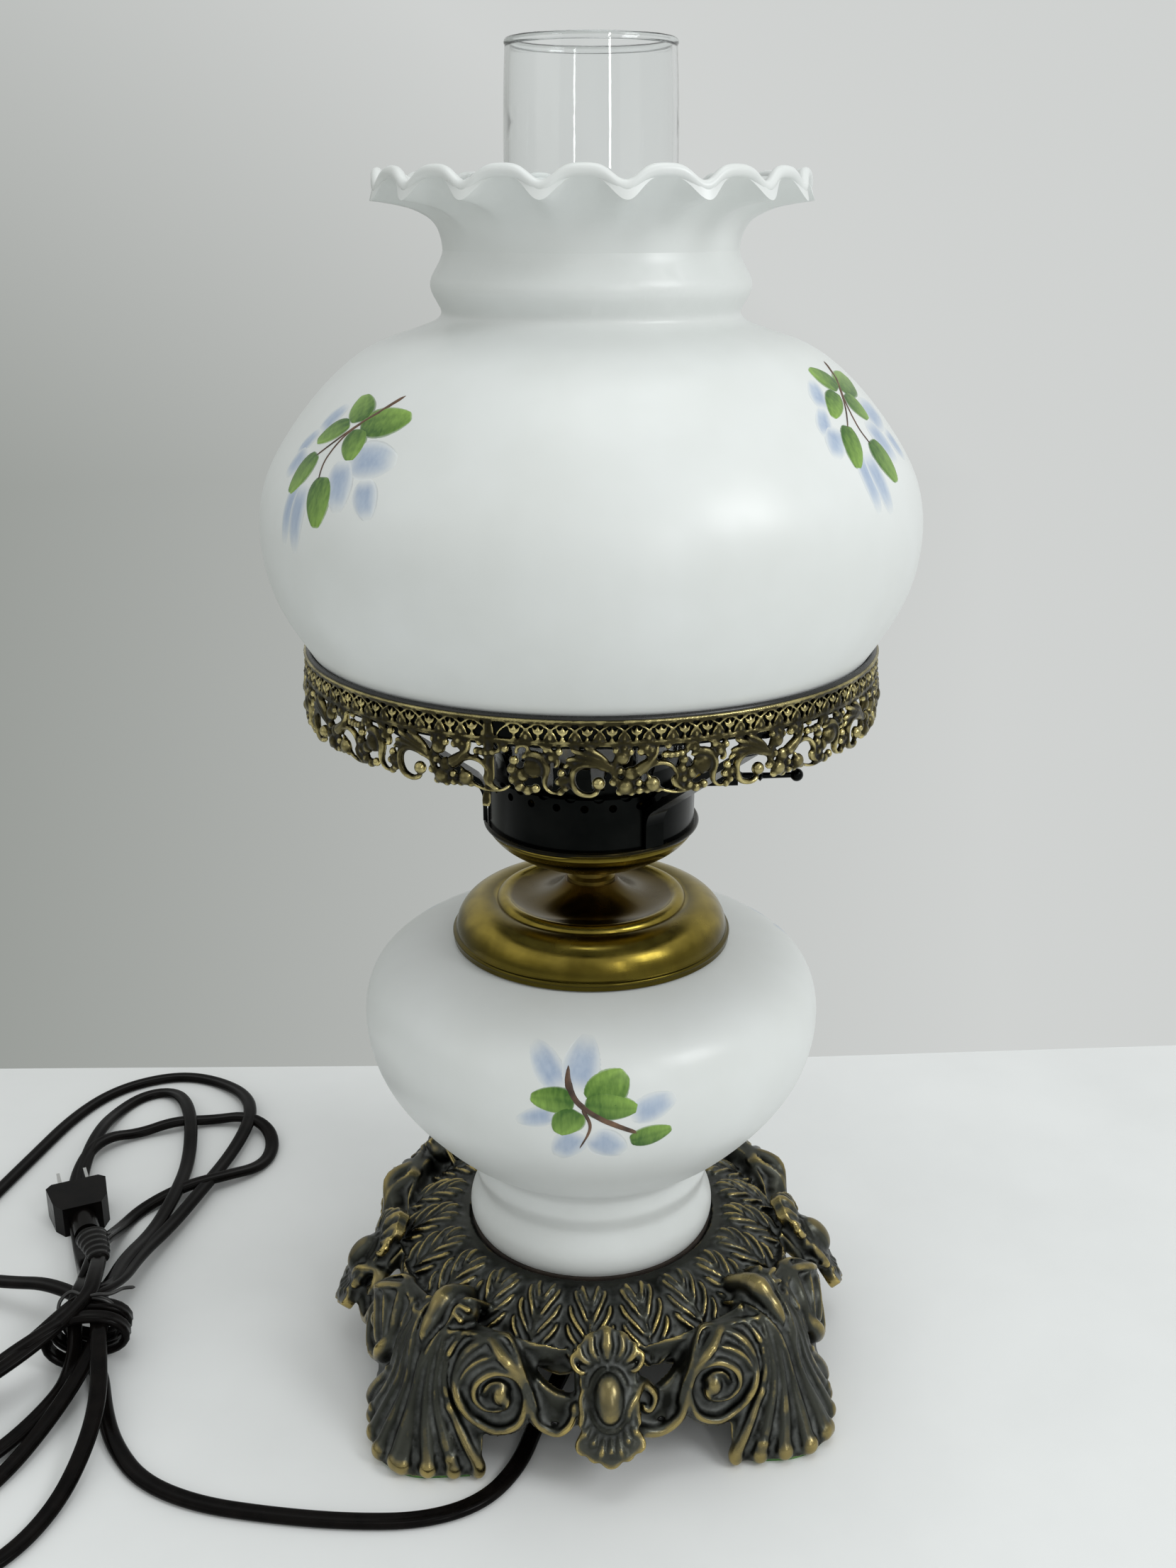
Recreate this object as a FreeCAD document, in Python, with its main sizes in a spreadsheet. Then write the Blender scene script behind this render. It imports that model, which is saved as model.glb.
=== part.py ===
import FreeCAD, Part
import math
import os

import Sketcher
from FreeCAD import Placement, Rotation, Vector

# Electrified parlour lamp: pierced cast base, glass font, keyed burner with a chimney, and a
# ruffled glass shade in a pierced gallery. Millimetres, +Z up, origin on the floor on the axis.

DOC = FreeCAD.newDocument("ParlourLamp")
SHEET = DOC.addObject("Spreadsheet::Sheet", "Dimensions")

DIMENSIONS = [
    # cast base
    ("felt_thick", 1.5, "felt pad under each foot"),
    ("foot_half", 91.0, "half the width over the toes"),
    ("shoulder_half", 79.5, "half the width over the shoulders of the feet"),
    ("casting_wall", 3.5, "wall of the hollow casting"),
    ("casting_top", 58.5, "top of the locating rim under the font"),
    ("rim_height", 1.5, "locating rim above the font seat"),
    ("rim_width", 3.0, "width of the locating rim"),
    ("band_radius", 79.0, "outer edge of the sloping leaf band"),
    ("band_drop", 12.5, "fall of the leaf band from rim to edge"),
    ("hub_radius", 16.0, "boss that takes the rod's nut"),
    ("hub_depth", 7.0, "depth of that boss under the seat"),
    ("arch_half", 49.0, "half the gap between two feet at the floor"),
    ("volute_offset", 42.0, "volute centre from the middle of a side"),
    ("volute_height", 37.0, "volute centre above the floor"),
    ("volute_radius", 15.0, "outside of a volute"),
    ("volute_proud", 7.0, "volute's face in front of the shoulder"),
    ("volute_eye_radius", 5.5, "eye of a volute"),
    ("volute_eye_proud", 2.5, "eye in front of the volute"),
    ("cartouche_reach", 94.0, "cartouche middle from the lamp's axis"),
    ("cartouche_height", 37.0, "cartouche middle above the floor"),
    ("cartouche_tilt", 36.0, "lean of a cartouche from upright, degrees"),
    ("boss_long", 15.0, "half length of the teardrop boss on a foot"),
    ("boss_wide", 6.5, "half width of that boss"),
    # rod and its fittings
    ("rod_radius", 4.8, "threaded pipe through the lamp"),
    ("rod_bore", 3.4, "inside radius of the pipe"),
    ("rod_clear", 0.4, "clearance round the pipe"),
    ("washer_radius", 12.0, "washer under the base"),
    ("washer_thick", 1.6, "its thickness"),
    ("nut_flats", 15.0, "nut across flats"),
    ("nut_thick", 5.0, "nut thickness"),
    ("rod_tail", 4.0, "pipe below the nut"),
    ("bushing_flange", 2.0, "flange of the cord bushing"),
    ("lead_radius", 2.6, "cord reckoned as a round of the same section"),
    # font
    ("gasket_thick", 1.5, "washer between font and base"),
    ("font_foot", 50.3, "radius of the font's foot"),
    ("font_radius", 90.5, "widest radius of the font"),
    ("font_wall", 4.0, "glass of the font"),
    ("font_middle", 152.0, "height of the font's widest place"),
    ("font_shoulder", 186.4, "height of the glass at the cap's rim"),
    ("font_hole", 8.0, "hole for the pipe in the font's top and bottom"),
    # cap and neck
    ("cap_radius", 54.7, "rim of the font's cap"),
    ("cap_lip", 3.4, "beaded rim of the cap"),
    ("cap_ridge", 34.9, "bead on the cap"),
    ("cap_rise", 23.0, "top of the cap above its rim"),
    ("sheet_metal", 1.0, "spun brass"),
    ("neck_radius", 8.3, "waist of the neck"),
    ("neck_flange", 9.5, "flanges of the neck"),
    ("neck_length", 7.5, "neck between cap and burner"),
    # burner
    ("burner_radius", 40.0, "outside of the burner"),
    ("bowl_height", 19.0, "burner bowl"),
    ("bead_proud", 1.8, "bead round the bowl's edge"),
    ("collar_height", 20.0, "pierced collar above the bowl"),
    ("collar_holes", 24.0, "holes round the collar"),
    ("key_rise", 14.3, "axis of the turn key above the burner's bead"),
    ("key_reach", 83.0, "tip of the key from the lamp's axis"),
    ("key_stem", 2.0, "radius of the key's stem"),
    ("key_clear", 0.06, "running clearance round the stem"),
    # socket and bulb
    ("socket_radius", 17.0, "socket shell"),
    ("socket_height", 56.0, "socket from its cap's base to its mouth"),
    ("socket_cap_height", 16.0, "lower cup of the socket"),
    ("liner_thick", 0.6, "fibre sleeve inside the socket"),
    ("screw_radius", 13.4, "inside of the lamp thread"),
    ("bulb_cap_radius", 13.1, "metal cap of the bulb"),
    ("bulb_cap_height", 24.0, "its height"),
    ("bulb_radius", 23.0, "bulb glass"),
    ("bulb_length", 62.0, "glass above the cap"),
    ("bulb_wall", 0.8, "bulb glass thickness"),
    # chimney
    ("chimney_foot", 35.5, "outside radius of the chimney's foot"),
    ("chimney_bulge", 38.6, "widest radius"),
    ("chimney_top", 28.9, "radius of the straight upper tube"),
    ("chimney_height", 255.5, "foot to rim"),
    ("chimney_wall", 1.8, "glass of the chimney"),
    # shade and its holder
    ("holder_radius", 106.4, "outside of the gallery"),
    ("holder_top", 308.0, "top of the gallery"),
    ("lattice_height", 8.4, "upper band of small arches"),
    ("filigree_height", 17.6, "pierced band below it"),
    ("strip_thick", 1.1, "stamped strip"),
    ("seat_drop", 9.0, "shade seat below the gallery's top"),
    ("seat_width", 11.0, "seat from the ring's wall inwards"),
    ("gallery_repeats", 12.0, "repeats of the filigree"),
    ("arm_width", 8.0, "arm strip"),
    ("arm_thick", 1.6, "arm strip thickness"),
    ("arm_count", 3.0, "arms of the holder"),
    ("shade_foot", 98.6, "radius of the shade's lower edge"),
    ("shade_radius", 119.3, "widest radius of the shade"),
    ("shade_neck", 51.5, "narrowest radius"),
    ("shade_neck_height", 146.7, "seat to narrowest place"),
    ("shade_wall", 3.0, "glass of the shade"),
    ("flare_height", 20.0, "narrowest place to the ruffled edge"),
    ("ruffle_radius", 74.8, "mean radius of the ruffled edge"),
    ("ruffle_crests", 18.0, "crimps round the edge"),
    ("ruffle_rise", 3.4, "half the height from trough to crest"),
    ("ruffle_swing", 1.5, "how much further out a trough reaches"),
    ("ruffle_phase", 4.2, "azimuth of a crest, degrees"),
    # plug
    ("plug_width", 28.0, "across the blades"),
    ("plug_thick", 15.0, "plug body"),
    ("plug_length", 24.0, "plug body without its strain relief"),
    ("blade_gap", 12.7, "between the blades"),
    ("blade_length", 16.0, "standing out of the plug"),
]


class Dim:
    """A size as a number together with the spreadsheet expression that gives it."""

    def __init__(self, value, text):
        self.value = float(value)
        self.text = text

    @staticmethod
    def of(item):
        return item if isinstance(item, Dim) else Dim(item, repr(float(item)))

    def _join(self, other, sign, value):
        other = Dim.of(other)
        return Dim(value(self.value, other.value), f"({self.text} {sign} {other.text})")

    def __add__(self, other):
        return self._join(other, "+", lambda a, b: a + b)

    def __radd__(self, other):
        return Dim.of(other) + self

    def __sub__(self, other):
        return self._join(other, "-", lambda a, b: a - b)

    def __rsub__(self, other):
        return Dim.of(other) - self

    def __mul__(self, other):
        return self._join(other, "*", lambda a, b: a * b)

    def __rmul__(self, other):
        return Dim.of(other) * self

    def __truediv__(self, other):
        return self._join(other, "/", lambda a, b: a / b)

    def __neg__(self):
        return Dim(-self.value, f"(-1 * {self.text})")


class Sizes:
    """Every row of the sheet as a Dim, under its alias."""

    def __init__(self, rows):
        for number, (alias, value, note) in enumerate(rows, start=1):
            SHEET.set(f"A{number}", alias)
            SHEET.set(f"B{number}", str(value))
            SHEET.setAlias(f"B{number}", alias)
            SHEET.set(f"C{number}", note)
            setattr(self, alias, Dim(value, f"Dimensions.{alias}"))


S = Sizes(DIMENSIONS)
DOC.recompute()

NODES = []


def keep(obj, label):
    """Names an object as a sub-part that is written out."""
    obj.Label = label
    NODES.append(obj)
    return obj


def bind(obj, name, size):
    """Ties a property to the sheet."""
    obj.setExpression(name, Dim.of(size).text)


def new_body(name):
    body = DOC.addObject("PartDesign::Body", name)
    body.AllowCompound = True
    return body


def origin_part(body, role):
    return next(f for f in body.Origin.OriginFeatures if f.Role == role)


def new_sketch(body, name, plane="XZ_Plane", offset=None):
    """A sketch on one of the body's own origin planes, moved off it by a Placement if given."""
    sketch = body.newObject("Sketcher::SketchObject", name)
    sketch.AttachmentSupport = [(origin_part(body, plane), "")]
    sketch.MapMode = "FlatFace"
    if offset is not None:
        sketch.AttachmentOffset = offset
    return sketch


def pin_point(sketch, geometry, position, x, y):
    """Fixes one point of a sketch at two sizes measured from the origin."""
    for kind, size, axis in (("DistanceX", x, -2), ("DistanceY", y, -1)):
        size = Dim.of(size)
        if abs(size.value) < 1e-9:
            sketch.addConstraint(Sketcher.Constraint("PointOnObject", geometry, position, axis))
            continue
        index = sketch.addConstraint(
            Sketcher.Constraint(kind, -1, 1, geometry, position, size.value)
        )
        if "Dimensions" in size.text:
            sketch.setExpression(f"Constraints[{index}]", size.text)


def add_outline(sketch, corners):
    """A closed outline. A corner is (x, y) or (x, y, radius): a radius makes the edge that
    leaves the corner an arc, bulging right of the way it runs if positive, left if negative."""
    first = sketch.GeometryCount
    ends = []
    for number, corner in enumerate(corners):
        following = corners[(number + 1) % len(corners)]
        a = Vector(Dim.of(corner[0]).value, Dim.of(corner[1]).value, 0)
        b = Vector(Dim.of(following[0]).value, Dim.of(following[1]).value, 0)
        if len(corner) == 2:
            sketch.addGeometry(Part.LineSegment(a, b))
            ends.append((1, 2, None))
            continue
        radius = Dim.of(corner[2])
        size = abs(radius.value)
        chord = b - a
        middle = (a + b) * 0.5
        left = Vector(-chord.y, chord.x, 0).normalize()
        height = math.sqrt(max(size**2 - (chord.Length / 2) ** 2, 0.0))
        turns_left = radius.value > 0
        centre = middle + left * (height if turns_left else -height)
        start, finish = (a, b) if turns_left else (b, a)
        angle_a = math.atan2(start.y - centre.y, start.x - centre.x)
        angle_b = math.atan2(finish.y - centre.y, finish.x - centre.x)
        if angle_b <= angle_a:
            angle_b += 2 * math.pi
        circle = Part.Circle(centre, Vector(0, 0, 1), size)
        sketch.addGeometry(Part.ArcOfCircle(circle, angle_a, angle_b))
        ends.append((1, 2, radius) if turns_left else (2, 1, radius))
    for number, (begin, _, radius) in enumerate(ends):
        geometry = first + number
        previous = (number - 1) % len(corners)
        sketch.addConstraint(
            Sketcher.Constraint("Coincident", first + previous, ends[previous][1], geometry, begin)
        )
        pin_point(sketch, geometry, begin, corners[number][0], corners[number][1])
        if radius is not None:
            index = sketch.addConstraint(
                Sketcher.Constraint("Radius", geometry, abs(radius.value))
            )
            if "Dimensions" in radius.text:
                sketch.setExpression(f"Constraints[{index}]", f"abs({radius.text})")


def add_circle(sketch, x, y, radius):
    x, y, radius = Dim.of(x), Dim.of(y), Dim.of(radius)
    centre = Vector(x.value, y.value, 0)
    geometry = sketch.addGeometry(Part.Circle(centre, Vector(0, 0, 1), radius.value))
    pin_point(sketch, geometry, 3, x, y)
    index = sketch.addConstraint(Sketcher.Constraint("Radius", geometry, radius.value))
    if "Dimensions" in radius.text:
        sketch.setExpression(f"Constraints[{index}]", radius.text)


def turned_feature(body, name, corners, kind="PartDesign::Revolution"):
    """A turned feature from a half section in the XZ plane."""
    sketch = new_sketch(body, f"{name}_section")
    add_outline(sketch, corners)
    feature = body.newObject(kind, name)
    feature.Profile = sketch
    feature.ReferenceAxis = (sketch, ["V_Axis"])
    feature.Angle = 360
    return feature


def turned(label, corners):
    """A whole piece turned about the lamp's axis."""
    body = new_body(label)
    turned_feature(body, f"{label}_turned", corners)
    return keep(body, label)


def padded(body, name, sketch, length, reverse=False, symmetric=False):
    pad = body.newObject("PartDesign::Pad", name)
    pad.Profile = sketch
    bind(pad, "Length", length)
    pad.Reversed = reverse
    pad.Midplane = symmetric
    return pad


def pocketed(body, name, sketch, length=None, reverse=False, symmetric=False):
    pocket = body.newObject("PartDesign::Pocket", name)
    pocket.Profile = sketch
    if length is None:
        pocket.Type = "ThroughAll"
    else:
        bind(pocket, "Length", length)
    pocket.Reversed = reverse
    pocket.Midplane = symmetric
    return pocket


def ringed(body, name, features, count, role="Z_Axis"):
    """Repeats features round an axis of the body and makes that the body's tip."""
    pattern = body.newObject("PartDesign::PolarPattern", name)
    pattern.Originals = features
    pattern.Axis = (origin_part(body, role), [""])
    pattern.Angle = 360
    bind(pattern, "Occurrences", count)
    body.Tip = pattern
    return pattern


# Sizes that several pieces share.
RIVET_RADIUS = 1.5
# Rounding of a foot's outer corner at the floor.
FOOT_CORNER = 22.0
# Glass rests this far above its metal seat.
SEAT_GAP = 0.3
RING_WALL = 1.0
SEAT_METAL = 1.2
DECK_METAL = 1.0
PIPE_ABOVE_SOCKET = 8.0
KEY_TO_SCREW = 5.0
CONTACT_RISE = 1.4
# How far cuts run outwards: from the axis, and from a sketch just inside a band's wall.
CUT_DEPTH = 60.0
BAND_CUT_DEPTH = 40.0
JOIN_TOLERANCE = 0.001
# Where the tie goes round the cord's hank.
TIE_X, TIE_Y = -213.0, -3.0

# Heights that several pieces share.
SEAT_Z = S.casting_top - S.rim_height
PLATE_Z = SEAT_Z - S.hub_depth
FONT_Z = SEAT_Z + S.gasket_thick
CAP_Z = S.font_shoulder + 0.8
NECK_Z = CAP_Z + S.cap_rise
BURNER_Z = NECK_Z + S.neck_length
BEAD_Z = BURNER_Z + S.bowl_height
KEY_Z = BEAD_Z + S.key_rise
COLLAR_Z = BEAD_Z + S.collar_height
SOCKET_Z = BURNER_Z + S.sheet_metal * 2
SHADE_SEAT_Z = S.holder_top - S.seat_drop
RING_RADIUS = S.holder_radius - S.strip_thick
HUB_BORE = S.rod_radius + S.rod_clear
NUT_Z = PLATE_Z - S.washer_thick - S.nut_thick
ROD_LOW_Z = NUT_Z - S.rod_tail
ROD_TOP_Z = SOCKET_Z + PIPE_ABOVE_SOCKET
DECK_Z = COLLAR_Z - DECK_METAL
CHIMNEY_Z = COLLAR_Z + SEAT_GAP
SOCKET_TOP_Z = SOCKET_Z + S.socket_height
SCREW_Z = KEY_Z + KEY_TO_SCREW
BULB_Z = SCREW_Z + CONTACT_RISE + SEAT_GAP
LATTICE_Z = S.holder_top - S.lattice_height


def base_casting():
    """Hollow four-footed casting: a lofted block, a sloping band, arches, scrolls and bosses."""
    body = new_body("base_casting")

    def corner_section(name, height, half, corner, bulge, inset=0.0):
        """A square with rounded corners and sides that swell by a given amount."""
        offset = Placement(Vector(0, 0, Dim.of(height).value), Rotation())
        sketch = new_sketch(body, name, "XY_Plane", offset)
        bind(sketch, "AttachmentOffset.Base.z", height)
        half = Dim.of(half) - inset
        flat = half - corner
        swell = (flat.value**2 + bulge**2) / (2 * bulge)
        points = []
        for turn in range(4):
            angle = math.radians(90 * turn)
            c, s = round(math.cos(angle)), round(math.sin(angle))

            def quarter_turned(x, y):
                return (x * c - y * s, x * s + y * c)

            points.append((*quarter_turned(half, -flat), swell))
            points.append((*quarter_turned(half, flat), corner))
        add_outline(sketch, points)
        return sketch

    foot, shoulder = S.foot_half, S.shoulder_half
    levels = [
        (S.felt_thick, foot, FOOT_CORNER, 1.0),
        (S.felt_thick + 10.5, foot - 3.5, 23.0, 8.0),
        (S.volute_height - 9.0, shoulder + 3.0, 26.0, 12.0),
        (S.casting_top - S.band_drop, shoulder, 30.0, 4.0),
        (S.casting_top - 4.0, shoulder - 6.0, 34.0, 1.5),
    ]
    outside = [corner_section(f"block_{n}", *level) for n, level in enumerate(levels)]
    block = body.newObject("PartDesign::AdditiveLoft", "foot_block")
    block.Profile = outside[0]
    block.Sections = outside[1:]
    turned_feature(
        body,
        "leaf_band",
        [
            (HUB_BORE, PLATE_Z),
            (S.hub_radius, PLATE_Z),
            (S.hub_radius, SEAT_Z - S.casting_wall),
            (S.font_foot, SEAT_Z - S.casting_wall),
            (S.band_radius - 2.0, S.casting_top - S.band_drop - S.casting_wall),
            (S.band_radius, S.casting_top - S.band_drop),
            (S.font_foot + S.rim_width + 1.0, S.casting_top),
            (S.font_foot + 1.0, S.casting_top),
            (S.font_foot + 1.0, SEAT_Z),
            (HUB_BORE, SEAT_Z),
        ],
    )
    hollow_levels = [
        (0.0, foot, FOOT_CORNER, 1.0),
        (S.felt_thick + 10.5, foot - 3.5, 23.0, 8.0),
        (S.volute_height - 9.0, shoulder + 3.0, 26.0, 12.0),
        (S.casting_top - 16.0, shoulder - 1.0, 30.0, 4.0),
    ]
    wall = S.casting_wall
    inside = [
        corner_section(f"hollow_{n}", *level, inset=wall) for n, level in enumerate(hollow_levels)
    ]
    hollow = body.newObject("PartDesign::SubtractiveLoft", "underside")
    hollow.Profile = inside[0]
    hollow.Sections = inside[1:]
    turned_feature(
        body,
        "roof_inside",
        [
            (S.hub_radius, S.felt_thick),
            (S.band_radius - 4.0, S.felt_thick),
            (S.band_radius - 4.0, S.casting_top - S.band_drop - S.casting_wall),
            (S.font_foot, SEAT_Z - S.casting_wall),
            (S.hub_radius, SEAT_Z - S.casting_wall),
        ],
        "PartDesign::Groove",
    )
    turned_feature(
        body,
        "hub_clearance",
        [(0.0, 0.0), (S.hub_radius, 0.0), (S.hub_radius, PLATE_Z), (0.0, PLATE_Z)],
        "PartDesign::Groove",
    )
    turned_feature(
        body,
        "above_band",
        [
            (S.font_foot + S.rim_width + 1.0, S.casting_top),
            (S.band_radius, S.casting_top - S.band_drop),
            (S.band_radius + 9.0, S.casting_top + 1.0),
        ],
        "PartDesign::Groove",
    )
    turned_feature(
        body,
        "rod_hole",
        [(0.0, 0.0), (HUB_BORE, 0.0), (HUB_BORE, S.casting_top), (0.0, S.casting_top)],
        "PartDesign::Groove",
    )

    arch = new_sketch(body, "arch_outline")
    vx, vz, vr = S.volute_offset, S.volute_height, S.volute_radius
    inner = vx - vr
    add_outline(
        arch,
        [
            (-S.arch_half, -1.0),
            (S.arch_half, -1.0),
            (S.arch_half - 1.5, vz - vr - 3.0, -(vr + 3.0)),
            (inner + 1.0, vz - 9.0),
            (15.0, vz - 12.0),
            (-15.0, vz - 12.0),
            (-(inner + 1.0), vz - 9.0, -(vr + 3.0)),
            (-(S.arch_half - 1.5), vz - vr - 3.0),
        ],
    )
    behind_face = Placement(Vector(0, 0, S.band_radius.value), Rotation())
    openings = new_sketch(body, "scroll_openings", "XZ_Plane", behind_face)
    bind(openings, "AttachmentOffset.Base.z", S.band_radius)
    top = S.casting_top + 4.0
    near, far = 12.5, inner + 4.5
    add_outline(
        openings,
        [(near, vz - 2.5), (19.0, vz - 1.0, 22.0), (far, top - 14.0), (far, top), (near, top)],
    )
    add_outline(
        openings,
        [
            (-near, vz - 2.5),
            (-near, top),
            (-far, top),
            (-far, top - 14.0, 22.0),
            (-19.0, vz - 1.0),
        ],
    )
    arches = pocketed(body, "arch", arch, symmetric=True)
    scrolls = pocketed(body, "openings", openings, BAND_CUT_DEPTH, reverse=True)
    ringed(body, "four_sides_cut", [arches, scrolls], 4.0)

    def scroll_face(name, radius, inner_end, outer_end):
        """Round bosses on the two feet of the front side, between two distances from the axis."""
        offset = Placement(Vector(0, 0, inner_end.value), Rotation())
        sketch = new_sketch(body, f"{name}_outline", "XZ_Plane", offset)
        bind(sketch, "AttachmentOffset.Base.z", inner_end)
        for side in (1.0, -1.0):
            add_circle(sketch, vx * side, vz, radius)
        return padded(body, name, sketch, outer_end - inner_end)

    face = S.shoulder_half + S.volute_proud
    disc = scroll_face("volute_disc", vr, S.shoulder_half, face)
    eye = scroll_face("volute_eye", S.volute_eye_radius, face, face + S.volute_eye_proud)

    lean = Rotation(Vector(1, 0, 0), -S.cartouche_tilt.value)
    place = Placement(
        Vector(0, S.cartouche_height.value, S.cartouche_reach.value), lean
    )
    plate = new_sketch(body, "cartouche_outline", "XZ_Plane", place)
    bind(plate, "AttachmentOffset.Base.y", S.cartouche_height)
    bind(plate, "AttachmentOffset.Base.z", S.cartouche_reach)
    add_outline(
        plate,
        [
            (-9.5, -9.0),
            (-13.0, -15.0, 3.2),
            (-9.0, -19.5, 3.2),
            (-4.0, -22.0, 4.2),
            (4.0, -22.0, 3.2),
            (9.0, -19.5, 3.2),
            (13.0, -15.0),
            (9.5, -9.0),
            (11.0, 6.0),
            (9.0, 17.0, 5.0),
            (3.5, 24.0, 4.0),
            (-3.5, 24.0, 5.0),
            (-9.0, 17.0),
            (-11.0, 6.0),
        ],
    )
    cartouche = padded(body, "cartouche", plate, 5.0, symmetric=True)
    stone = new_sketch(body, "cabochon_section", "XZ_Plane", place)
    bind(stone, "AttachmentOffset.Base.y", S.cartouche_height)
    bind(stone, "AttachmentOffset.Base.z", S.cartouche_reach)
    add_outline(stone, [(0.0, -10.5, 10.9), (0.0, 10.5)])
    cabochon = body.newObject("PartDesign::Revolution", "cabochon")
    cabochon.Profile = stone
    cabochon.ReferenceAxis = (stone, ["V_Axis"])
    cabochon.Angle = 360
    ringed(body, "four_sides", [disc, eye, cartouche, cabochon], 4.0)

    corner = Rotation(Vector(0, 1, 0), 45.0)
    reach = S.shoulder_half + 4.0
    height = S.casting_top - 7.0
    tear = new_sketch(body, "teardrop_section", "XZ_Plane")
    tear.AttachmentOffset = Placement(
        Vector(
            reach.value * math.cos(math.radians(45)),
            height.value,
            reach.value * math.sin(math.radians(45)),
        ),
        corner * Rotation(Vector(0, 0, 1), -62.0),
    )
    long, wide = S.boss_long, S.boss_wide
    blunt = 0.8
    add_outline(
        tear,
        [(0.0, -long), (blunt, -long, 24.0), (wide, long * 0.4, 8.5), (blunt, long), (0.0, long)],
    )
    boss = body.newObject("PartDesign::Revolution", "teardrop")
    boss.Profile = tear
    boss.ReferenceAxis = (tear, ["V_Axis"])
    boss.Angle = 360
    ringed(body, "four_corners", [boss], 4.0)
    return keep(body, "base_casting")


def felt_pads():
    """A pad glued under each foot, with the foot's rounded outer corner."""
    body = new_body("felt_pads")
    sketch = new_sketch(body, "pad_outline", "XY_Plane")
    near, far = S.arch_half + 4.0, S.foot_half - 1.0
    step = S.casting_wall * 5.0
    add_outline(
        sketch,
        [
            (near, near + step),
            (near + step, near),
            (far, near + 4.0),
            (far, far - FOOT_CORNER, FOOT_CORNER),
            (far - FOOT_CORNER, far),
            (near, far),
        ],
    )
    pad = padded(body, "pad", sketch, S.felt_thick)
    ringed(body, "four_pads", [pad], 4.0)
    return keep(body, "felt_pads")


def fixings():
    """Washer and nut under the casting, and the threaded pipe that clamps the lamp together."""
    turned(
        "base_washer",
        [
            (HUB_BORE, PLATE_Z - S.washer_thick),
            (S.washer_radius, PLATE_Z - S.washer_thick),
            (S.washer_radius, PLATE_Z),
            (HUB_BORE, PLATE_Z),
        ],
    )
    nut = new_body("base_nut")
    sketch = new_sketch(nut, "hexagon", "XY_Plane")
    sketch.AttachmentOffset = Placement(Vector(0, 0, NUT_Z.value), Rotation())
    bind(sketch, "AttachmentOffset.Base.z", NUT_Z)
    half = S.nut_flats / 2.0
    side = half * (1.0 / math.cos(math.radians(30)))
    across = side / 2.0
    add_outline(
        sketch,
        [(side, 0.0), (across, half), (-across, half), (-side, 0.0), (-across, -half), (across, -half)],
    )
    add_circle(sketch, 0.0, 0.0, S.rod_radius)
    padded(nut, "nut_pad", sketch, S.nut_thick)
    keep(nut, "base_nut")
    turned(
        "threaded_rod",
        [
            (S.rod_bore, ROD_LOW_Z),
            (S.rod_radius, ROD_LOW_Z),
            (S.rod_radius, ROD_TOP_Z),
            (S.rod_bore, ROD_TOP_Z),
        ],
    )
    turned(
        "font_gasket",
        [
            (S.font_foot - 8.0, SEAT_Z),
            (S.font_foot, SEAT_Z),
            (S.font_foot, FONT_Z),
            (S.font_foot - 8.0, FONT_Z),
        ],
    )


def smooth_curve(points):
    """A smooth curve in the XZ plane through (radius, height) points."""
    curve = Part.BSplineCurve()
    curve.interpolate([Vector(r, 0, z) for r, z in points])
    return curve


def inside_of(points, wall):
    """The points of the skin that lies a wall further in, from a curve that runs upwards."""
    curve = smooth_curve(points)
    moved = []
    for r, z in points:
        along = curve.tangent(curve.parameter(Vector(r, 0, z)))[0]
        moved.append((r - wall * along.z, z + wall * along.x))
    moved[0] = (points[0][0] - wall, points[0][1])
    return moved


def line_rz(a, b):
    return Part.makeLine(Vector(a[0], 0, a[1]), Vector(b[0], 0, b[1]))


def spun(edges):
    """The solid that a closed loop of edges in the XZ plane makes round the axis."""
    wire = Part.Wire(Part.__sortEdges__(edges))
    return Part.Face(wire).revolve(Vector(0, 0, 0), Vector(0, 0, 1), 360)


def between_skins(outer, inner):
    """A blown piece of glass: two smooth skins with a flat rim at either end."""
    return spun(
        [
            smooth_curve(outer).toShape(),
            line_rz(outer[-1], inner[-1]),
            smooth_curve(inner).toShape(),
            line_rz(inner[0], outer[0]),
        ]
    )


def font():
    """Opal glass font: squat ball on a ringed foot, open at top and bottom for the pipe."""
    foot, wide, wall = S.font_foot.value, S.font_radius.value, S.font_wall.value
    low, middle, high = FONT_Z.value, S.font_middle.value, S.font_shoulder.value
    hole = S.font_hole.value
    outer = [
        (foot - 1.2, low),
        (foot, low + 2.5),
        (foot - 0.3, low + 11.0),
        (foot - 3.0, low + 19.5),
        (foot - 1.6, low + 26.0),
        (foot - 2.6, low + 32.0),
        (foot + 6.5, low + 41.5),
        (wide - 20.5, middle - 40.0),
        (wide - 7.5, middle - 23.0),
        (wide, middle),
        (wide - 4.5, middle + 21.0),
        (wide - 15.5, high - 5.2),
        (S.cap_radius.value, high),
        (S.cap_radius.value - 22.0, high + 3.4),
        (hole, high + 4.6),
    ]
    cavity = inside_of(outer[4:], wall)
    cavity[0] = (cavity[0][0], outer[4][1])
    cavity[-1] = (hole, high + 4.6 - wall)
    floor_low, floor_top = low + 8.0, low + 8.0 + wall
    recess = [
        (cavity[0][0] - 6.0, floor_top),
        (hole, floor_top),
        (hole, floor_low),
        (foot - wall - 8.0, floor_low),
        (foot - wall - 2.0, low + 4.0),
        (foot - wall - 1.2, low),
    ]
    edges = [smooth_curve(outer).toShape(), line_rz(outer[-1], cavity[-1])]
    edges.append(smooth_curve(cavity).toShape())
    corners = [cavity[0], *recess, outer[0]]
    edges.extend(line_rz(a, b) for a, b in zip(corners, corners[1:]))
    feature = DOC.addObject("Part::Feature", "font")
    feature.Shape = spun(edges)
    keep(feature, "font")


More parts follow.
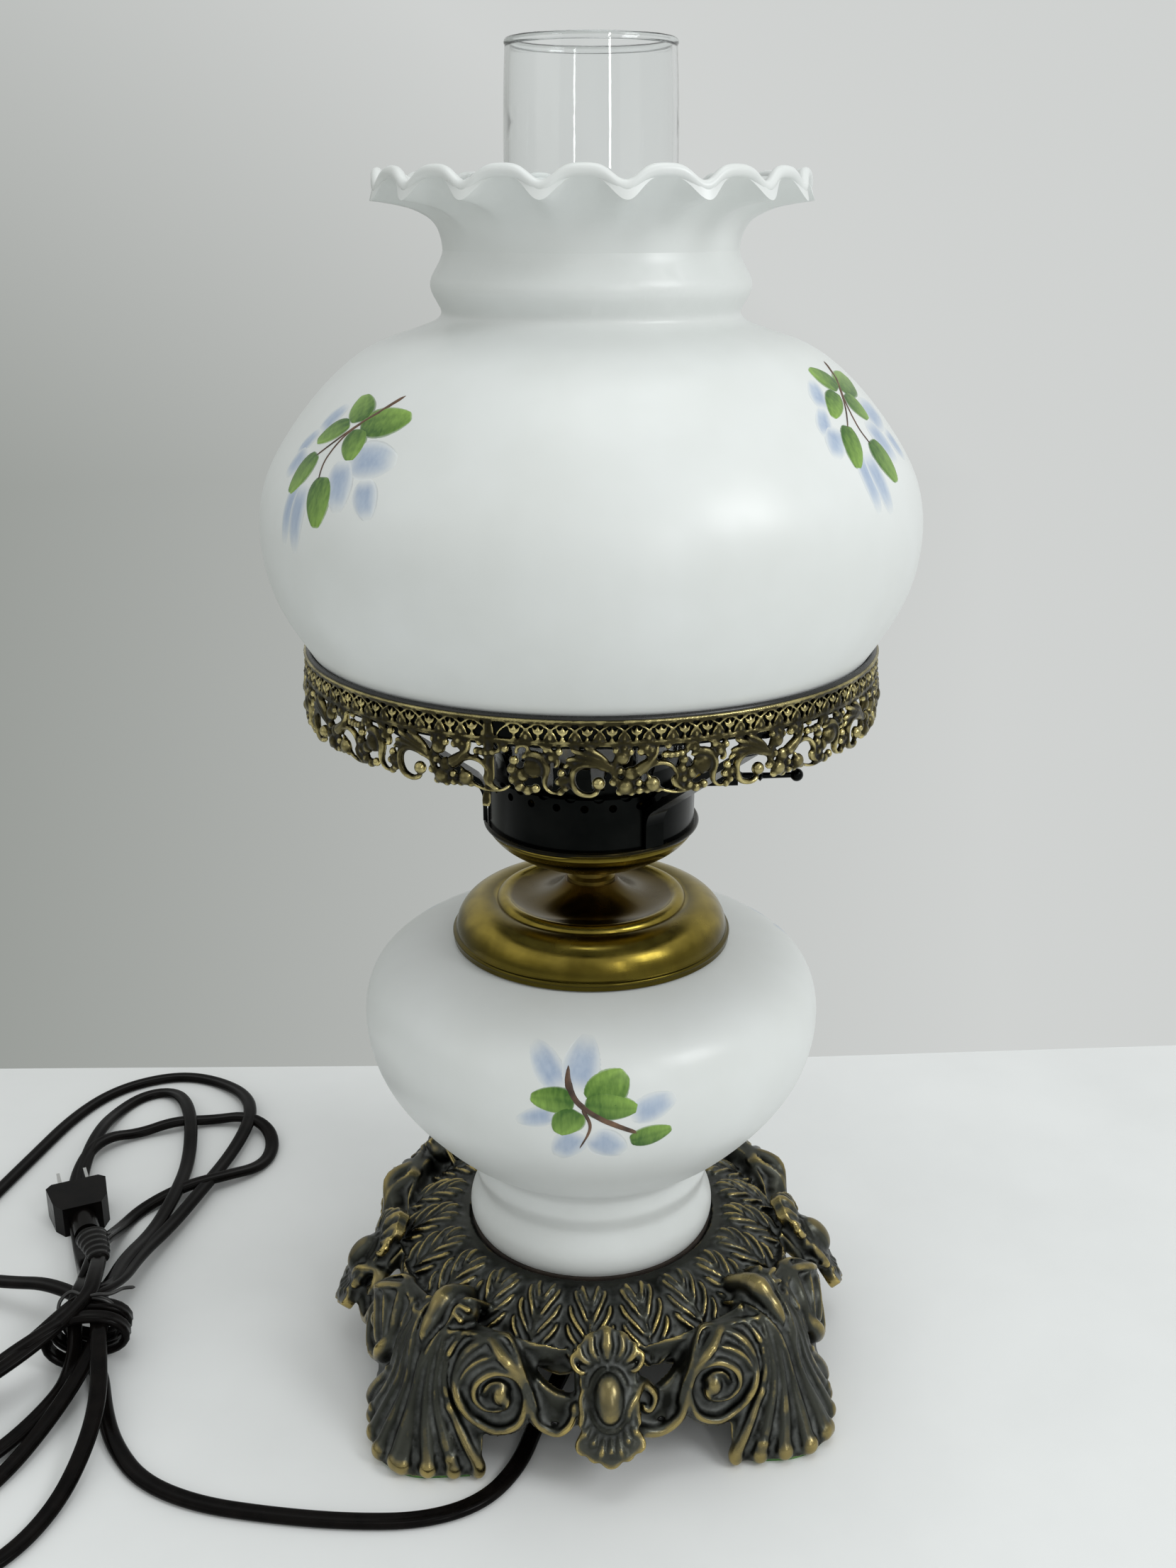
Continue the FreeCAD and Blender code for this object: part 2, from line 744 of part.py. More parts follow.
def cap_and_neck():
    """Spun cap over the font's mouth and the waisted neck above it."""
    metal, rim, ridge = S.sheet_metal, S.cap_radius, S.cap_ridge
    lip_z = CAP_Z + S.cap_lip
    ridge_z = NECK_Z - 5.0
    turned(
        "font_cap",
        [
            (rim - metal, CAP_Z),
            (rim, CAP_Z),
            (rim, CAP_Z + 1.6, 0.9),
            (rim - 0.6, lip_z - 0.2),
            (rim - 1.0, lip_z + 0.2, 13.0),
            (ridge + 2.4, ridge_z - 2.6, 3.2),
            (ridge - 2.6, ridge_z - 1.2, -18.0),
            (S.neck_flange + 1.0, NECK_Z),
            (HUB_BORE, NECK_Z),
            (HUB_BORE, NECK_Z - metal),
            (S.neck_flange + 0.2, NECK_Z - metal, 18.5),
            (ridge - 3.0, ridge_z - 2.4),
            (ridge + 1.6, ridge_z - 3.8, -12.0),
            (rim - 2.2, lip_z - 0.2),
            (rim - metal, lip_z - 1.2),
        ],
    )
    turned(
        "neck",
        [
            (HUB_BORE, NECK_Z),
            (S.neck_flange, NECK_Z),
            (S.neck_flange, NECK_Z + 1.4),
            (S.neck_radius, NECK_Z + 2.6),
            (S.neck_radius, BURNER_Z - 2.6),
            (S.neck_flange, BURNER_Z - 1.4),
            (S.neck_flange, BURNER_Z),
            (HUB_BORE, BURNER_Z),
        ],
    )


def burner():
    """Spun bowl with a bead, the pierced collar on it, and the deck that holds the chimney."""
    metal, out = S.sheet_metal, S.burner_radius
    turned(
        "burner_bowl",
        [
            (HUB_BORE, BURNER_Z),
            (S.neck_flange, BURNER_Z, 46.0),
            (out - 7.0, BURNER_Z + 8.0, 22.0),
            (out - 0.4, BEAD_Z - 4.6),
            (out - 0.4, BEAD_Z - 2.6),
            (out + S.bead_proud - 0.6, BEAD_Z - 2.4, 1.4),
            (out + S.bead_proud - 0.6, BEAD_Z),
            (out - metal, BEAD_Z),
            (out - metal - 0.4, BEAD_Z - 4.6, -21.0),
            (out - 8.0, BURNER_Z + 9.0, -45.0),
            (S.neck_flange, BURNER_Z + metal),
            (HUB_BORE, BURNER_Z + metal),
        ],
    )
    collar = new_body("burner_collar")
    turned_feature(
        collar,
        "collar_wall",
        [(out - metal, BEAD_Z), (out, BEAD_Z), (out, COLLAR_Z), (out - metal, COLLAR_Z)],
    )
    step = 360.0 / S.collar_holes.value
    hole = new_sketch(collar, "hole_outline")
    hole.AttachmentOffset = Placement(Vector(0, 0, 0), Rotation(Vector(0, 1, 0), step / 2))
    add_circle(hole, 0.0, COLLAR_Z - 3.4, 1.5)
    holes = pocketed(collar, "hole", hole, CUT_DEPTH, reverse=True)
    notch = new_sketch(collar, "notch_outline")
    add_circle(notch, 0.0, COLLAR_Z + 1.2, 2.4)
    notches = pocketed(collar, "notch", notch, CUT_DEPTH, reverse=True)
    ringed(collar, "collar_piercing", [holes, notches], S.collar_holes)
    port = new_sketch(collar, "key_port_outline", "YZ_Plane")
    add_circle(port, 0.0, KEY_Z, S.key_stem + 1.2)
    port_cut = pocketed(collar, "key_port", port, CUT_DEPTH, reverse=True)
    collar.Tip = port_cut
    keep(collar, "burner_collar")

    holder = new_body("chimney_holder")
    clear = 0.15
    grip = S.chimney_foot + 0.3
    turned_feature(
        holder,
        "deck",
        [
            (S.socket_radius + 1.0, DECK_Z),
            (out - metal - clear, DECK_Z),
            (out - metal - clear, COLLAR_Z),
            (grip + 0.8, COLLAR_Z),
            (grip + 1.1, COLLAR_Z + 7.0),
            (grip + 2.6, COLLAR_Z + 11.0),
            (grip + 1.8, COLLAR_Z + 11.0),
            (grip + 0.2, COLLAR_Z + 7.0),
            (grip, COLLAR_Z),
            (S.socket_radius + 1.0, COLLAR_Z),
        ],
    )
    slot = new_sketch(holder, "slot_outline")
    add_outline(
        slot,
        [
            (-2.2, COLLAR_Z + 2.5),
            (2.2, COLLAR_Z + 2.5),
            (3.4, COLLAR_Z + 14.0),
            (-3.4, COLLAR_Z + 14.0),
        ],
    )
    slots = pocketed(holder, "slot", slot, CUT_DEPTH, reverse=True)
    vent = new_sketch(holder, "vent_outline", "XY_Plane")
    add_circle(vent, 0.0, S.socket_radius + 9.0, 2.6)
    vents = pocketed(holder, "vent", vent, COLLAR_Z + 5.0, reverse=True)
    ringed(holder, "twelve", [slots, vents], 12.0)
    keep(holder, "chimney_holder")


def socket():
    """Keyed lamp socket: cup, shell, fibre sleeve, moulded body, screw shell and contact."""
    out, metal = S.socket_radius, 0.8
    cap_top = SOCKET_Z + S.socket_cap_height
    shell_out = out - metal
    turned(
        "socket_cap",
        [
            (S.rod_radius, SOCKET_Z),
            (out - 4.0, SOCKET_Z, 4.0),
            (out, SOCKET_Z + 4.0),
            (out, cap_top),
            (out - metal, cap_top),
            (out - metal, SOCKET_Z + 4.0, -3.2),
            (out - 4.0, SOCKET_Z + metal),
            (S.rod_radius + 1.6, SOCKET_Z + metal),
            (S.rod_radius + 1.6, ROD_TOP_Z),
            (S.rod_radius, ROD_TOP_Z),
        ],
    )
    shell = new_body("socket_shell")
    turned_feature(
        shell,
        "shell_wall",
        [
            (shell_out - metal, cap_top - 4.0),
            (shell_out, cap_top - 4.0),
            (shell_out, cap_top),
            (out, cap_top),
            (out, cap_top + 1.6),
            (shell_out, cap_top + 1.6),
            (shell_out, SOCKET_TOP_Z),
            (shell_out - metal, SOCKET_TOP_Z),
        ],
    )
    liner = new_body("socket_liner")
    liner_out = shell_out - metal
    turned_feature(
        liner,
        "liner_wall",
        [
            (liner_out - S.liner_thick, cap_top - 3.0),
            (liner_out, cap_top - 3.0),
            (liner_out, SOCKET_TOP_Z),
            (liner_out - S.liner_thick, SOCKET_TOP_Z),
        ],
    )
    for body, name in ((shell, "shell"), (liner, "liner")):
        port = new_sketch(body, f"{name}_port_outline", "YZ_Plane")
        add_circle(port, 0.0, KEY_Z, S.key_stem + 1.0)
        body.Tip = pocketed(body, f"{name}_port", port, CUT_DEPTH, reverse=True)
    keep(shell, "socket_shell")
    keep(liner, "socket_liner")
    inner = liner_out - S.liner_thick - 0.1
    moulding = new_body("socket_body")
    turned_feature(
        moulding,
        "moulding",
        [
            (2.0, cap_top - 2.0),
            (inner, cap_top - 2.0),
            (inner, SCREW_Z),
            (2.0, SCREW_Z),
        ],
    )
    bore = new_sketch(moulding, "key_bore_outline", "YZ_Plane")
    bore.AttachmentOffset = Placement(Vector(0, 0, 6.0), Rotation())
    add_circle(bore, 0.0, KEY_Z, S.key_stem + S.key_clear)
    moulding.Tip = pocketed(moulding, "key_bore", bore, BAND_CUT_DEPTH, reverse=True)
    keep(moulding, "socket_body")
    turned(
        "screw_shell",
        [
            (S.screw_radius, SCREW_Z),
            (S.screw_radius + 0.4, SCREW_Z),
            (S.screw_radius + 0.4, SOCKET_TOP_Z - 1.0),
            (S.screw_radius, SOCKET_TOP_Z - 1.0),
        ],
    )
    turned(
        "centre_contact",
        [
            (0.0, SCREW_Z - 3.0),
            (2.0, SCREW_Z - 3.0),
            (2.0, SCREW_Z),
            (4.0, SCREW_Z),
            (3.0, SCREW_Z + CONTACT_RISE),
            (0.0, SCREW_Z + CONTACT_RISE),
        ],
    )


def turn_key():
    """Key of the socket's switch: stem, flat grip and a turned end, about the X axis."""
    bushing = new_body("key_bushing")
    bushing.Placement = Placement(Vector(0, 0, KEY_Z.value), Rotation())
    bind(bushing, "Placement.Base.z", KEY_Z)
    out, stem = S.burner_radius, S.key_stem
    sketch = new_sketch(bushing, "bushing_section")
    add_outline(
        sketch,
        [
            (out - 2.4, stem + S.key_clear),
            (out + 2.2, stem + S.key_clear),
            (out + 2.2, stem + 1.6),
            (out + 0.1, stem + 2.4),
            (out + 0.1, stem + 1.1),
            (out - 2.4, stem + 1.1),
        ],
    )
    ring = bushing.newObject("PartDesign::Revolution", "bushing_ring")
    ring.Profile = sketch
    ring.ReferenceAxis = (sketch, ["H_Axis"])
    ring.Angle = 360
    keep(bushing, "key_bushing")

    key = new_body("turn_key")
    key.Placement = Placement(Vector(0, 0, KEY_Z.value), Rotation())
    bind(key, "Placement.Base.z", KEY_Z)
    tip = S.key_reach
    grip_from, grip_to = out + 3.0, out + 17.0
    profile = new_sketch(key, "key_section")
    add_outline(
        profile,
        [
            (7.0, 0.0),
            (7.0, stem),
            (grip_to + 1.0, stem),
            (grip_to + 2.0, stem - 0.6),
            (tip - 18.0, stem - 0.7),
            (tip - 17.0, stem + 0.2),
            (tip - 16.0, stem - 0.8),
            (tip - 5.0, stem - 0.9),
            (tip - 4.0, stem + 0.2, -2.6),
            (tip, 0.0),
        ],
    )
    spindle = key.newObject("PartDesign::Revolution", "key_spindle")
    spindle.Profile = profile
    spindle.ReferenceAxis = (profile, ["H_Axis"])
    spindle.Angle = 360
    grip = new_sketch(key, "grip_outline")
    add_outline(
        grip,
        [(grip_from, -3.0), (grip_to, -3.0), (grip_to, 3.0), (grip_from, 3.0)],
    )
    key.Tip = padded(key, "grip", grip, 5.0, symmetric=True)
    keep(key, "turn_key")


def bulb():
    """Lamp bulb: metal cap with its contact, and the glass that sits in it."""
    cap, glass_r = S.bulb_cap_radius, S.bulb_radius
    top = BULB_Z + S.bulb_cap_height
    turned(
        "bulb_cap",
        [
            (0.0, BULB_Z),
            (3.6, BULB_Z),
            (5.0, BULB_Z + 1.6),
            (cap - 0.6, BULB_Z + 5.0),
            (cap, BULB_Z + 6.0),
            (cap, top),
            (cap - 0.4, top),
            (cap - 0.4, top - 6.0),
            (0.0, top - 6.0),
        ],
    )
    neck = cap.value - 0.5
    wide, tall, z = glass_r.value, S.bulb_length.value, top.value
    outer = [
        (neck, z - 5.5),
        (neck, z + 2.0),
        (neck + 3.0, z + 12.0),
        (wide - 2.0, z + 27.0),
        (wide, z + 38.0),
        (wide - 4.5, z + 52.0),
        (wide - 14.0, z + tall - 2.0),
        (0.0, z + tall),
    ]
    wall = S.bulb_wall.value
    inner = inside_of(outer, wall)
    inner[-1] = (0.0, outer[-1][1] - wall)
    feature = DOC.addObject("Part::Feature", "bulb_glass")
    feature.Shape = between_skins(outer, inner)
    keep(feature, "bulb_glass")


def chimney():
    """Clear chimney: straight foot, slight bulge and a long straight tube."""
    low = CHIMNEY_Z.value
    foot, bulge, top = S.chimney_foot.value, S.chimney_bulge.value, S.chimney_top.value
    outer = [
        (foot, low),
        (foot, low + 8.0),
        (foot + 1.6, low + 18.0),
        (bulge, low + 36.0),
        (bulge - 2.0, low + 54.0),
        (top + 3.6, low + 74.0),
        (top + 0.8, low + 92.0),
        (top, low + 112.0),
        (top, low + 150.0),
        (top, low + S.chimney_height.value),
    ]
    inner = inside_of(outer, S.chimney_wall.value)
    inner[-1] = (top - S.chimney_wall.value, outer[-1][1])
    feature = DOC.addObject("Part::Feature", "chimney")
    feature.Shape = between_skins(outer, inner)
    keep(feature, "chimney")


def shade_holder():
    """Seat ring, pierced gallery strip round it, three arms and their rivets."""
    wall = RING_WALL
    ring = new_body("shade_ring")
    ring_in = RING_RADIUS - wall
    turned_feature(
        ring,
        "ring_section",
        [
            (ring_in - S.seat_width, SHADE_SEAT_Z - SEAT_METAL),
            (RING_RADIUS, SHADE_SEAT_Z - SEAT_METAL),
            (RING_RADIUS, S.holder_top - wall),
            (ring_in, S.holder_top - wall),
            (ring_in, SHADE_SEAT_Z),
            (ring_in - S.seat_width, SHADE_SEAT_Z),
        ],
    )
    rivet_at = ring_in - 3.0
    hole = new_sketch(ring, "rivet_hole_outline", "XY_Plane")
    add_circle(hole, -rivet_at, 0.0, RIVET_RADIUS)
    holes = pocketed(ring, "rivet_hole", hole, S.holder_top, reverse=True)
    ringed(ring, "rivet_holes", [holes], S.arm_count)
    keep(ring, "shade_ring")

    band = new_body("gallery_band")
    out, low = S.holder_radius, LATTICE_Z - S.filigree_height
    turned_feature(
        band,
        "strip",
        [
            (RING_RADIUS, low),
            (out, low),
            (out, LATTICE_Z - 1.0, 1.1),
            (out, LATTICE_Z + 1.0),
            (out, S.holder_top - 1.6, 0.9),
            (out, S.holder_top),
            (ring_in, S.holder_top),
            (ring_in, S.holder_top - wall),
            (RING_RADIUS, S.holder_top - wall),
        ],
    )
    behind = out - 16.0
    front = Placement(Vector(0, 0, behind.value), Rotation())
    repeats = S.gallery_repeats
    pitch = 2 * math.pi * out.value / repeats.value
    lattice = new_sketch(band, "lattice_outline", "XZ_Plane", front)
    bind(lattice, "AttachmentOffset.Base.z", behind)
    arches = 7
    arch_low, arch_high = LATTICE_Z + 1.6, S.holder_top - 2.4
    for number in range(arches):
        turn = (number - (arches - 1) / 2) * 2 * math.pi / (arches * repeats.value)
        x = out.value * math.sin(turn)
        half = 0.26 * pitch / arches * math.cos(turn)
        add_outline(
            lattice,
            [(x - half, arch_low), (x + half, arch_low), (x, arch_high)],
        )
    cut_lattice = pocketed(band, "lattice", lattice, BAND_CUT_DEPTH, reverse=True)
    filigree = new_sketch(band, "filigree_outline", "XZ_Plane", front)
    bind(filigree, "AttachmentOffset.Base.z", behind)
    top = LATTICE_Z - 2.2
    add_outline(
        filigree,
        [(-24.0, top - 1.0), (-26.0, top - 7.5, 4.0), (-20.0, top - 9.0), (-17.0, top - 3.0, 6.0)],
    )
    add_circle(filigree, -12.0, top - 10.0, 3.0)
    add_outline(
        filigree,
        [(-10.5, top - 1.0, 6.5), (-8.0, top - 5.5), (-1.5, top - 4.0), (-0.5, top - 0.5)],
    )
    add_circle(filigree, 0.5, top - 9.5, 3.2)
    add_outline(
        filigree,
        [(6.5, top - 0.8), (4.5, top - 5.0), (9.5, top - 11.5, 5.5), (13.0, top - 4.0)],
    )
    add_circle(filigree, 17.5, top - 4.2, 2.4)
    add_circle(filigree, 19.0, top - 11.0, 2.4)
    cut_filigree = pocketed(band, "filigree", filigree, BAND_CUT_DEPTH, reverse=True)
    scallop = new_sketch(band, "scallop_outline", "XZ_Plane", front)
    bind(scallop, "AttachmentOffset.Base.z", behind)
    for x, radius in ((-21.5, 3.4), (-6.5, 3.0), (7.0, 2.6), (24.5, 3.0)):
        add_circle(scallop, x, low + 0.2, radius)
    cut_scallop = pocketed(band, "scallop", scallop, BAND_CUT_DEPTH, reverse=True)
    ringed(band, "round_the_band", [cut_lattice, cut_filigree, cut_scallop], repeats)
    keep(band, "gallery_band")

    arms = new_body("tripod_arms")
    profile = new_sketch(arms, "arm_side")
    inner = S.burner_radius + 0.4
    thick = S.arm_thick
    tab_z = SHADE_SEAT_Z - SEAT_METAL
    tab_low = tab_z - thick
    reach = ring_in - S.seat_width + 1.2
    add_outline(
        profile,
        [
            (-inner, BEAD_Z),
            (-(inner + thick), BEAD_Z),
            (-(inner + thick), BEAD_Z + 9.0, 9.0),
            (-(inner + thick + 3.4), BEAD_Z + 15.4),
            (-(reach + 0.6), tab_low - 9.5),
            (-(reach + thick), tab_low - 6.5),
            (-(reach + thick), tab_low),
            (-(ring_in - 0.4), tab_low),
            (-(ring_in - 0.4), tab_z),
            (-reach, tab_z),
            (-reach, tab_low - 5.6),
            (-(reach - 0.9), tab_low - 7.6),
            (-(inner + 3.0), BEAD_Z + 17.2, -10.6),
            (-inner, BEAD_Z + 9.6),
        ],
    )
    arm = padded(arms, "arm", profile, S.arm_width, symmetric=True)
    tab_hole = new_sketch(arms, "tab_hole_outline", "XY_Plane")
    add_circle(tab_hole, -rivet_at, 0.0, RIVET_RADIUS)
    tab_cut = pocketed(arms, "tab_hole", tab_hole, S.holder_top, reverse=True)
    ringed(arms, "three_arms", [arm, tab_cut], S.arm_count)
    keep(arms, "tripod_arms")

    rivets = new_body("arm_rivets")
    pads = []
    for name, level, radius, length in (
        ("lower_head", tab_low - 0.9, RIVET_RADIUS + 1.0, 0.9),
        ("shank", tab_low, RIVET_RADIUS, thick + SEAT_METAL),
        ("upper_head", SHADE_SEAT_Z, RIVET_RADIUS + 0.6, 0.7),
    ):
        level = Dim.of(level)
        sketch = new_sketch(
            rivets, f"{name}_outline", "XY_Plane", Placement(Vector(0, 0, level.value), Rotation())
        )
        bind(sketch, "AttachmentOffset.Base.z", level)
        add_circle(sketch, -rivet_at, 0.0, radius)
        pads.append(padded(rivets, name, sketch, length))
    ringed(rivets, "three_rivets", pads, S.arm_count)
    keep(rivets, "arm_rivets")


def shade():
    """Opal shade: a turned bowl and bead, flaring into a crimped edge."""
    wall, neck, wide = S.shade_wall.value, S.shade_neck.value, S.shade_radius.value
    foot, low = S.shade_foot.value, SHADE_SEAT_Z.value + SEAT_GAP
    neck_z = low + S.shade_neck_height.value
    holder_wall, clear = RING_RADIUS.value - RING_WALL, 0.7
    outer = [
        (foot, low),
        (holder_wall - clear, S.holder_top.value),
        (wide - 5.5, low + 26.0),
        (wide, low + 47.0),
        (wide - 2.6, low + 69.0),
        (wide - 11.3, low + 85.0),
        (wide - 26.3, low + 103.0),
        (wide - 42.0, low + 114.8),
        (neck + 8.5, neck_z - 25.7),
        (neck + 1.0, neck_z - 20.7),
        (neck + 3.6, neck_z - 15.1),
        (neck + 4.6, neck_z - 10.7),
        (neck + 2.6, neck_z - 6.1),
        (neck, neck_z),
    ]
    inner = inside_of(outer, wall)
    inner[-1] = (neck - wall, neck_z)
    bowl = between_skins(outer, inner)

    edge, edge_z = S.ruffle_radius.value, neck_z + S.flare_height.value
    flare_outer = [
        (neck, neck_z),
        (neck + 0.4, neck_z + 8.0),
        (neck + 8.0, edge_z - 5.6),
        (neck + 16.0, edge_z - 2.6),
        (edge, edge_z),
    ]
    flare_inner = [
        (neck - wall, neck_z),
        (neck - wall + 0.4, neck_z + 9.0),
        (neck + 6.5, edge_z - 2.6),
        (neck + 15.0, edge_z + 0.4),
        (edge - 0.8, edge_z + wall),
    ]
    skins = [crimped_skin(flare_outer), crimped_skin(flare_inner)]
    joins = [
        Part.makeRuledSurface(rim_edge(skins[0], side), rim_edge(skins[1], side))
        for side in (min, max)
    ]
    shell = Part.makeShell([*skins, *joins])
    shell.sewShape()
    flare = Part.Solid(shell)
    if flare.Volume < 0:
        flare.reverse()
    feature = DOC.addObject("Part::Feature", "shade")
    feature.Shape = bowl.fuse([flare], JOIN_TOLERANCE).Solids[0]
    keep(feature, "shade")


def rim_edge(skin, pick):
    """The lowest or highest of a closed skin's two rims."""
    rims = [edge for edge in skin.Edges if not edge.isSeam(skin)]
    return pick(rims, key=lambda edge: edge.BoundBox.ZMin)


def crimped_skin(profile):
    """A closed surface round the axis whose upper edge waves up and in, then down and out."""
    per_crest = 8
    crests = S.ruffle_crests.value
    count = int(round(crests)) * per_crest
    step = 2 * math.pi / count
    phase = math.radians(S.ruffle_phase.value)
    # A uniform cubic runs inside its poles, the more so the shorter the wave: these make it up.
    widen = 3 / (2 + math.cos(step))
    deepen = 3 / (2 + math.cos(2 * math.pi / per_crest))
    deepen_double = 3 / (2 + math.cos(4 * math.pi / per_crest))
    # Share of the double wave that broadens the crests and narrows the troughs.
    broaden = 0.22
    shares = [0.0, 0.0, 0.25, 0.6, 1.0]
    poles = []
    for number in range(count):
        angle = (number - 1) * step
        turn = crests * (angle - phase)
        wave = deepen * math.cos(turn) - broaden * deepen_double * math.cos(2 * turn)
        row = []
        for (r, z), share in zip(profile, shares):
            radius = (r - S.ruffle_swing.value * share * wave) * widen
            height = z + S.ruffle_rise.value * share * wave
            row.append(Vector(radius * math.cos(angle), radius * math.sin(angle), height))
        poles.append(row)
    surface = Part.BSplineSurface()
    surface.buildFromPolesMultsKnots(
        poles,
        [1] * (count + 1),
        [4, 1, 4],
        [float(knot) for knot in range(count + 1)],
        [0.0, 1.0, 2.0],
        True,
        False,
        3,
        3,
    )
    return surface.toShape()


CORD_ROUTE = [
    (0.0, 0.0, 36.0),
    (0.0, -1.5, 24.0),
    (-3.0, -9.0, 13.0),
    (-8.5, -23.0, 5.5),
    (-17.0, -42.0, 2.7),
    (-26.0, -64.0, 2.7),
    (-34.0, -88.0, 2.7),
    (-48.0, -106.0, 2.7),
    (-70.0, -113.5, 2.7),
    (-98.0, -112.0, 2.7),
    (-128.0, -106.5, 2.7),
    (-156.0, -99.0, 2.7),
    (-178.0, -86.0, 2.7),
    (-191.0, -68.0, 2.7),
    (-199.0, -50.0, 2.7),
    (-203.0, -34.0, 2.7),
]


# The hank's lobes: their thickness and the straight edges round each.
HANK_HEIGHT = 9.0
HANK_EDGES = 65


def rounded_path(points):
    """Straight runs joined by arcs as large as the runs allow, with the radii."""
    corners = [Vector(*p) for p in points]
    edges, radii, last = [], [], corners[0]
    for before, corner, after in zip(corners, corners[1:], corners[2:]):
        a, b = corner - before, after - corner
        turn = a.getAngle(b)
        reach = 0.45 * min(a.Length, b.Length)
        radii.append(reach / math.tan(turn / 2))
        a.normalize()
        b.normalize()
        begin, end = corner - a * reach, corner + b * reach
        inward = (b - a).normalize()
        depth = radii[-1] * (1 / math.cos(turn / 2) - 1)
        edges.append(Part.LineSegment(last, begin).toShape())
        edges.append(Part.Arc(begin, corner + inward * depth, end).toShape())
        last = end
    edges.append(Part.LineSegment(last, corners[-1]).toShape())
    return Part.Wire(edges), radii


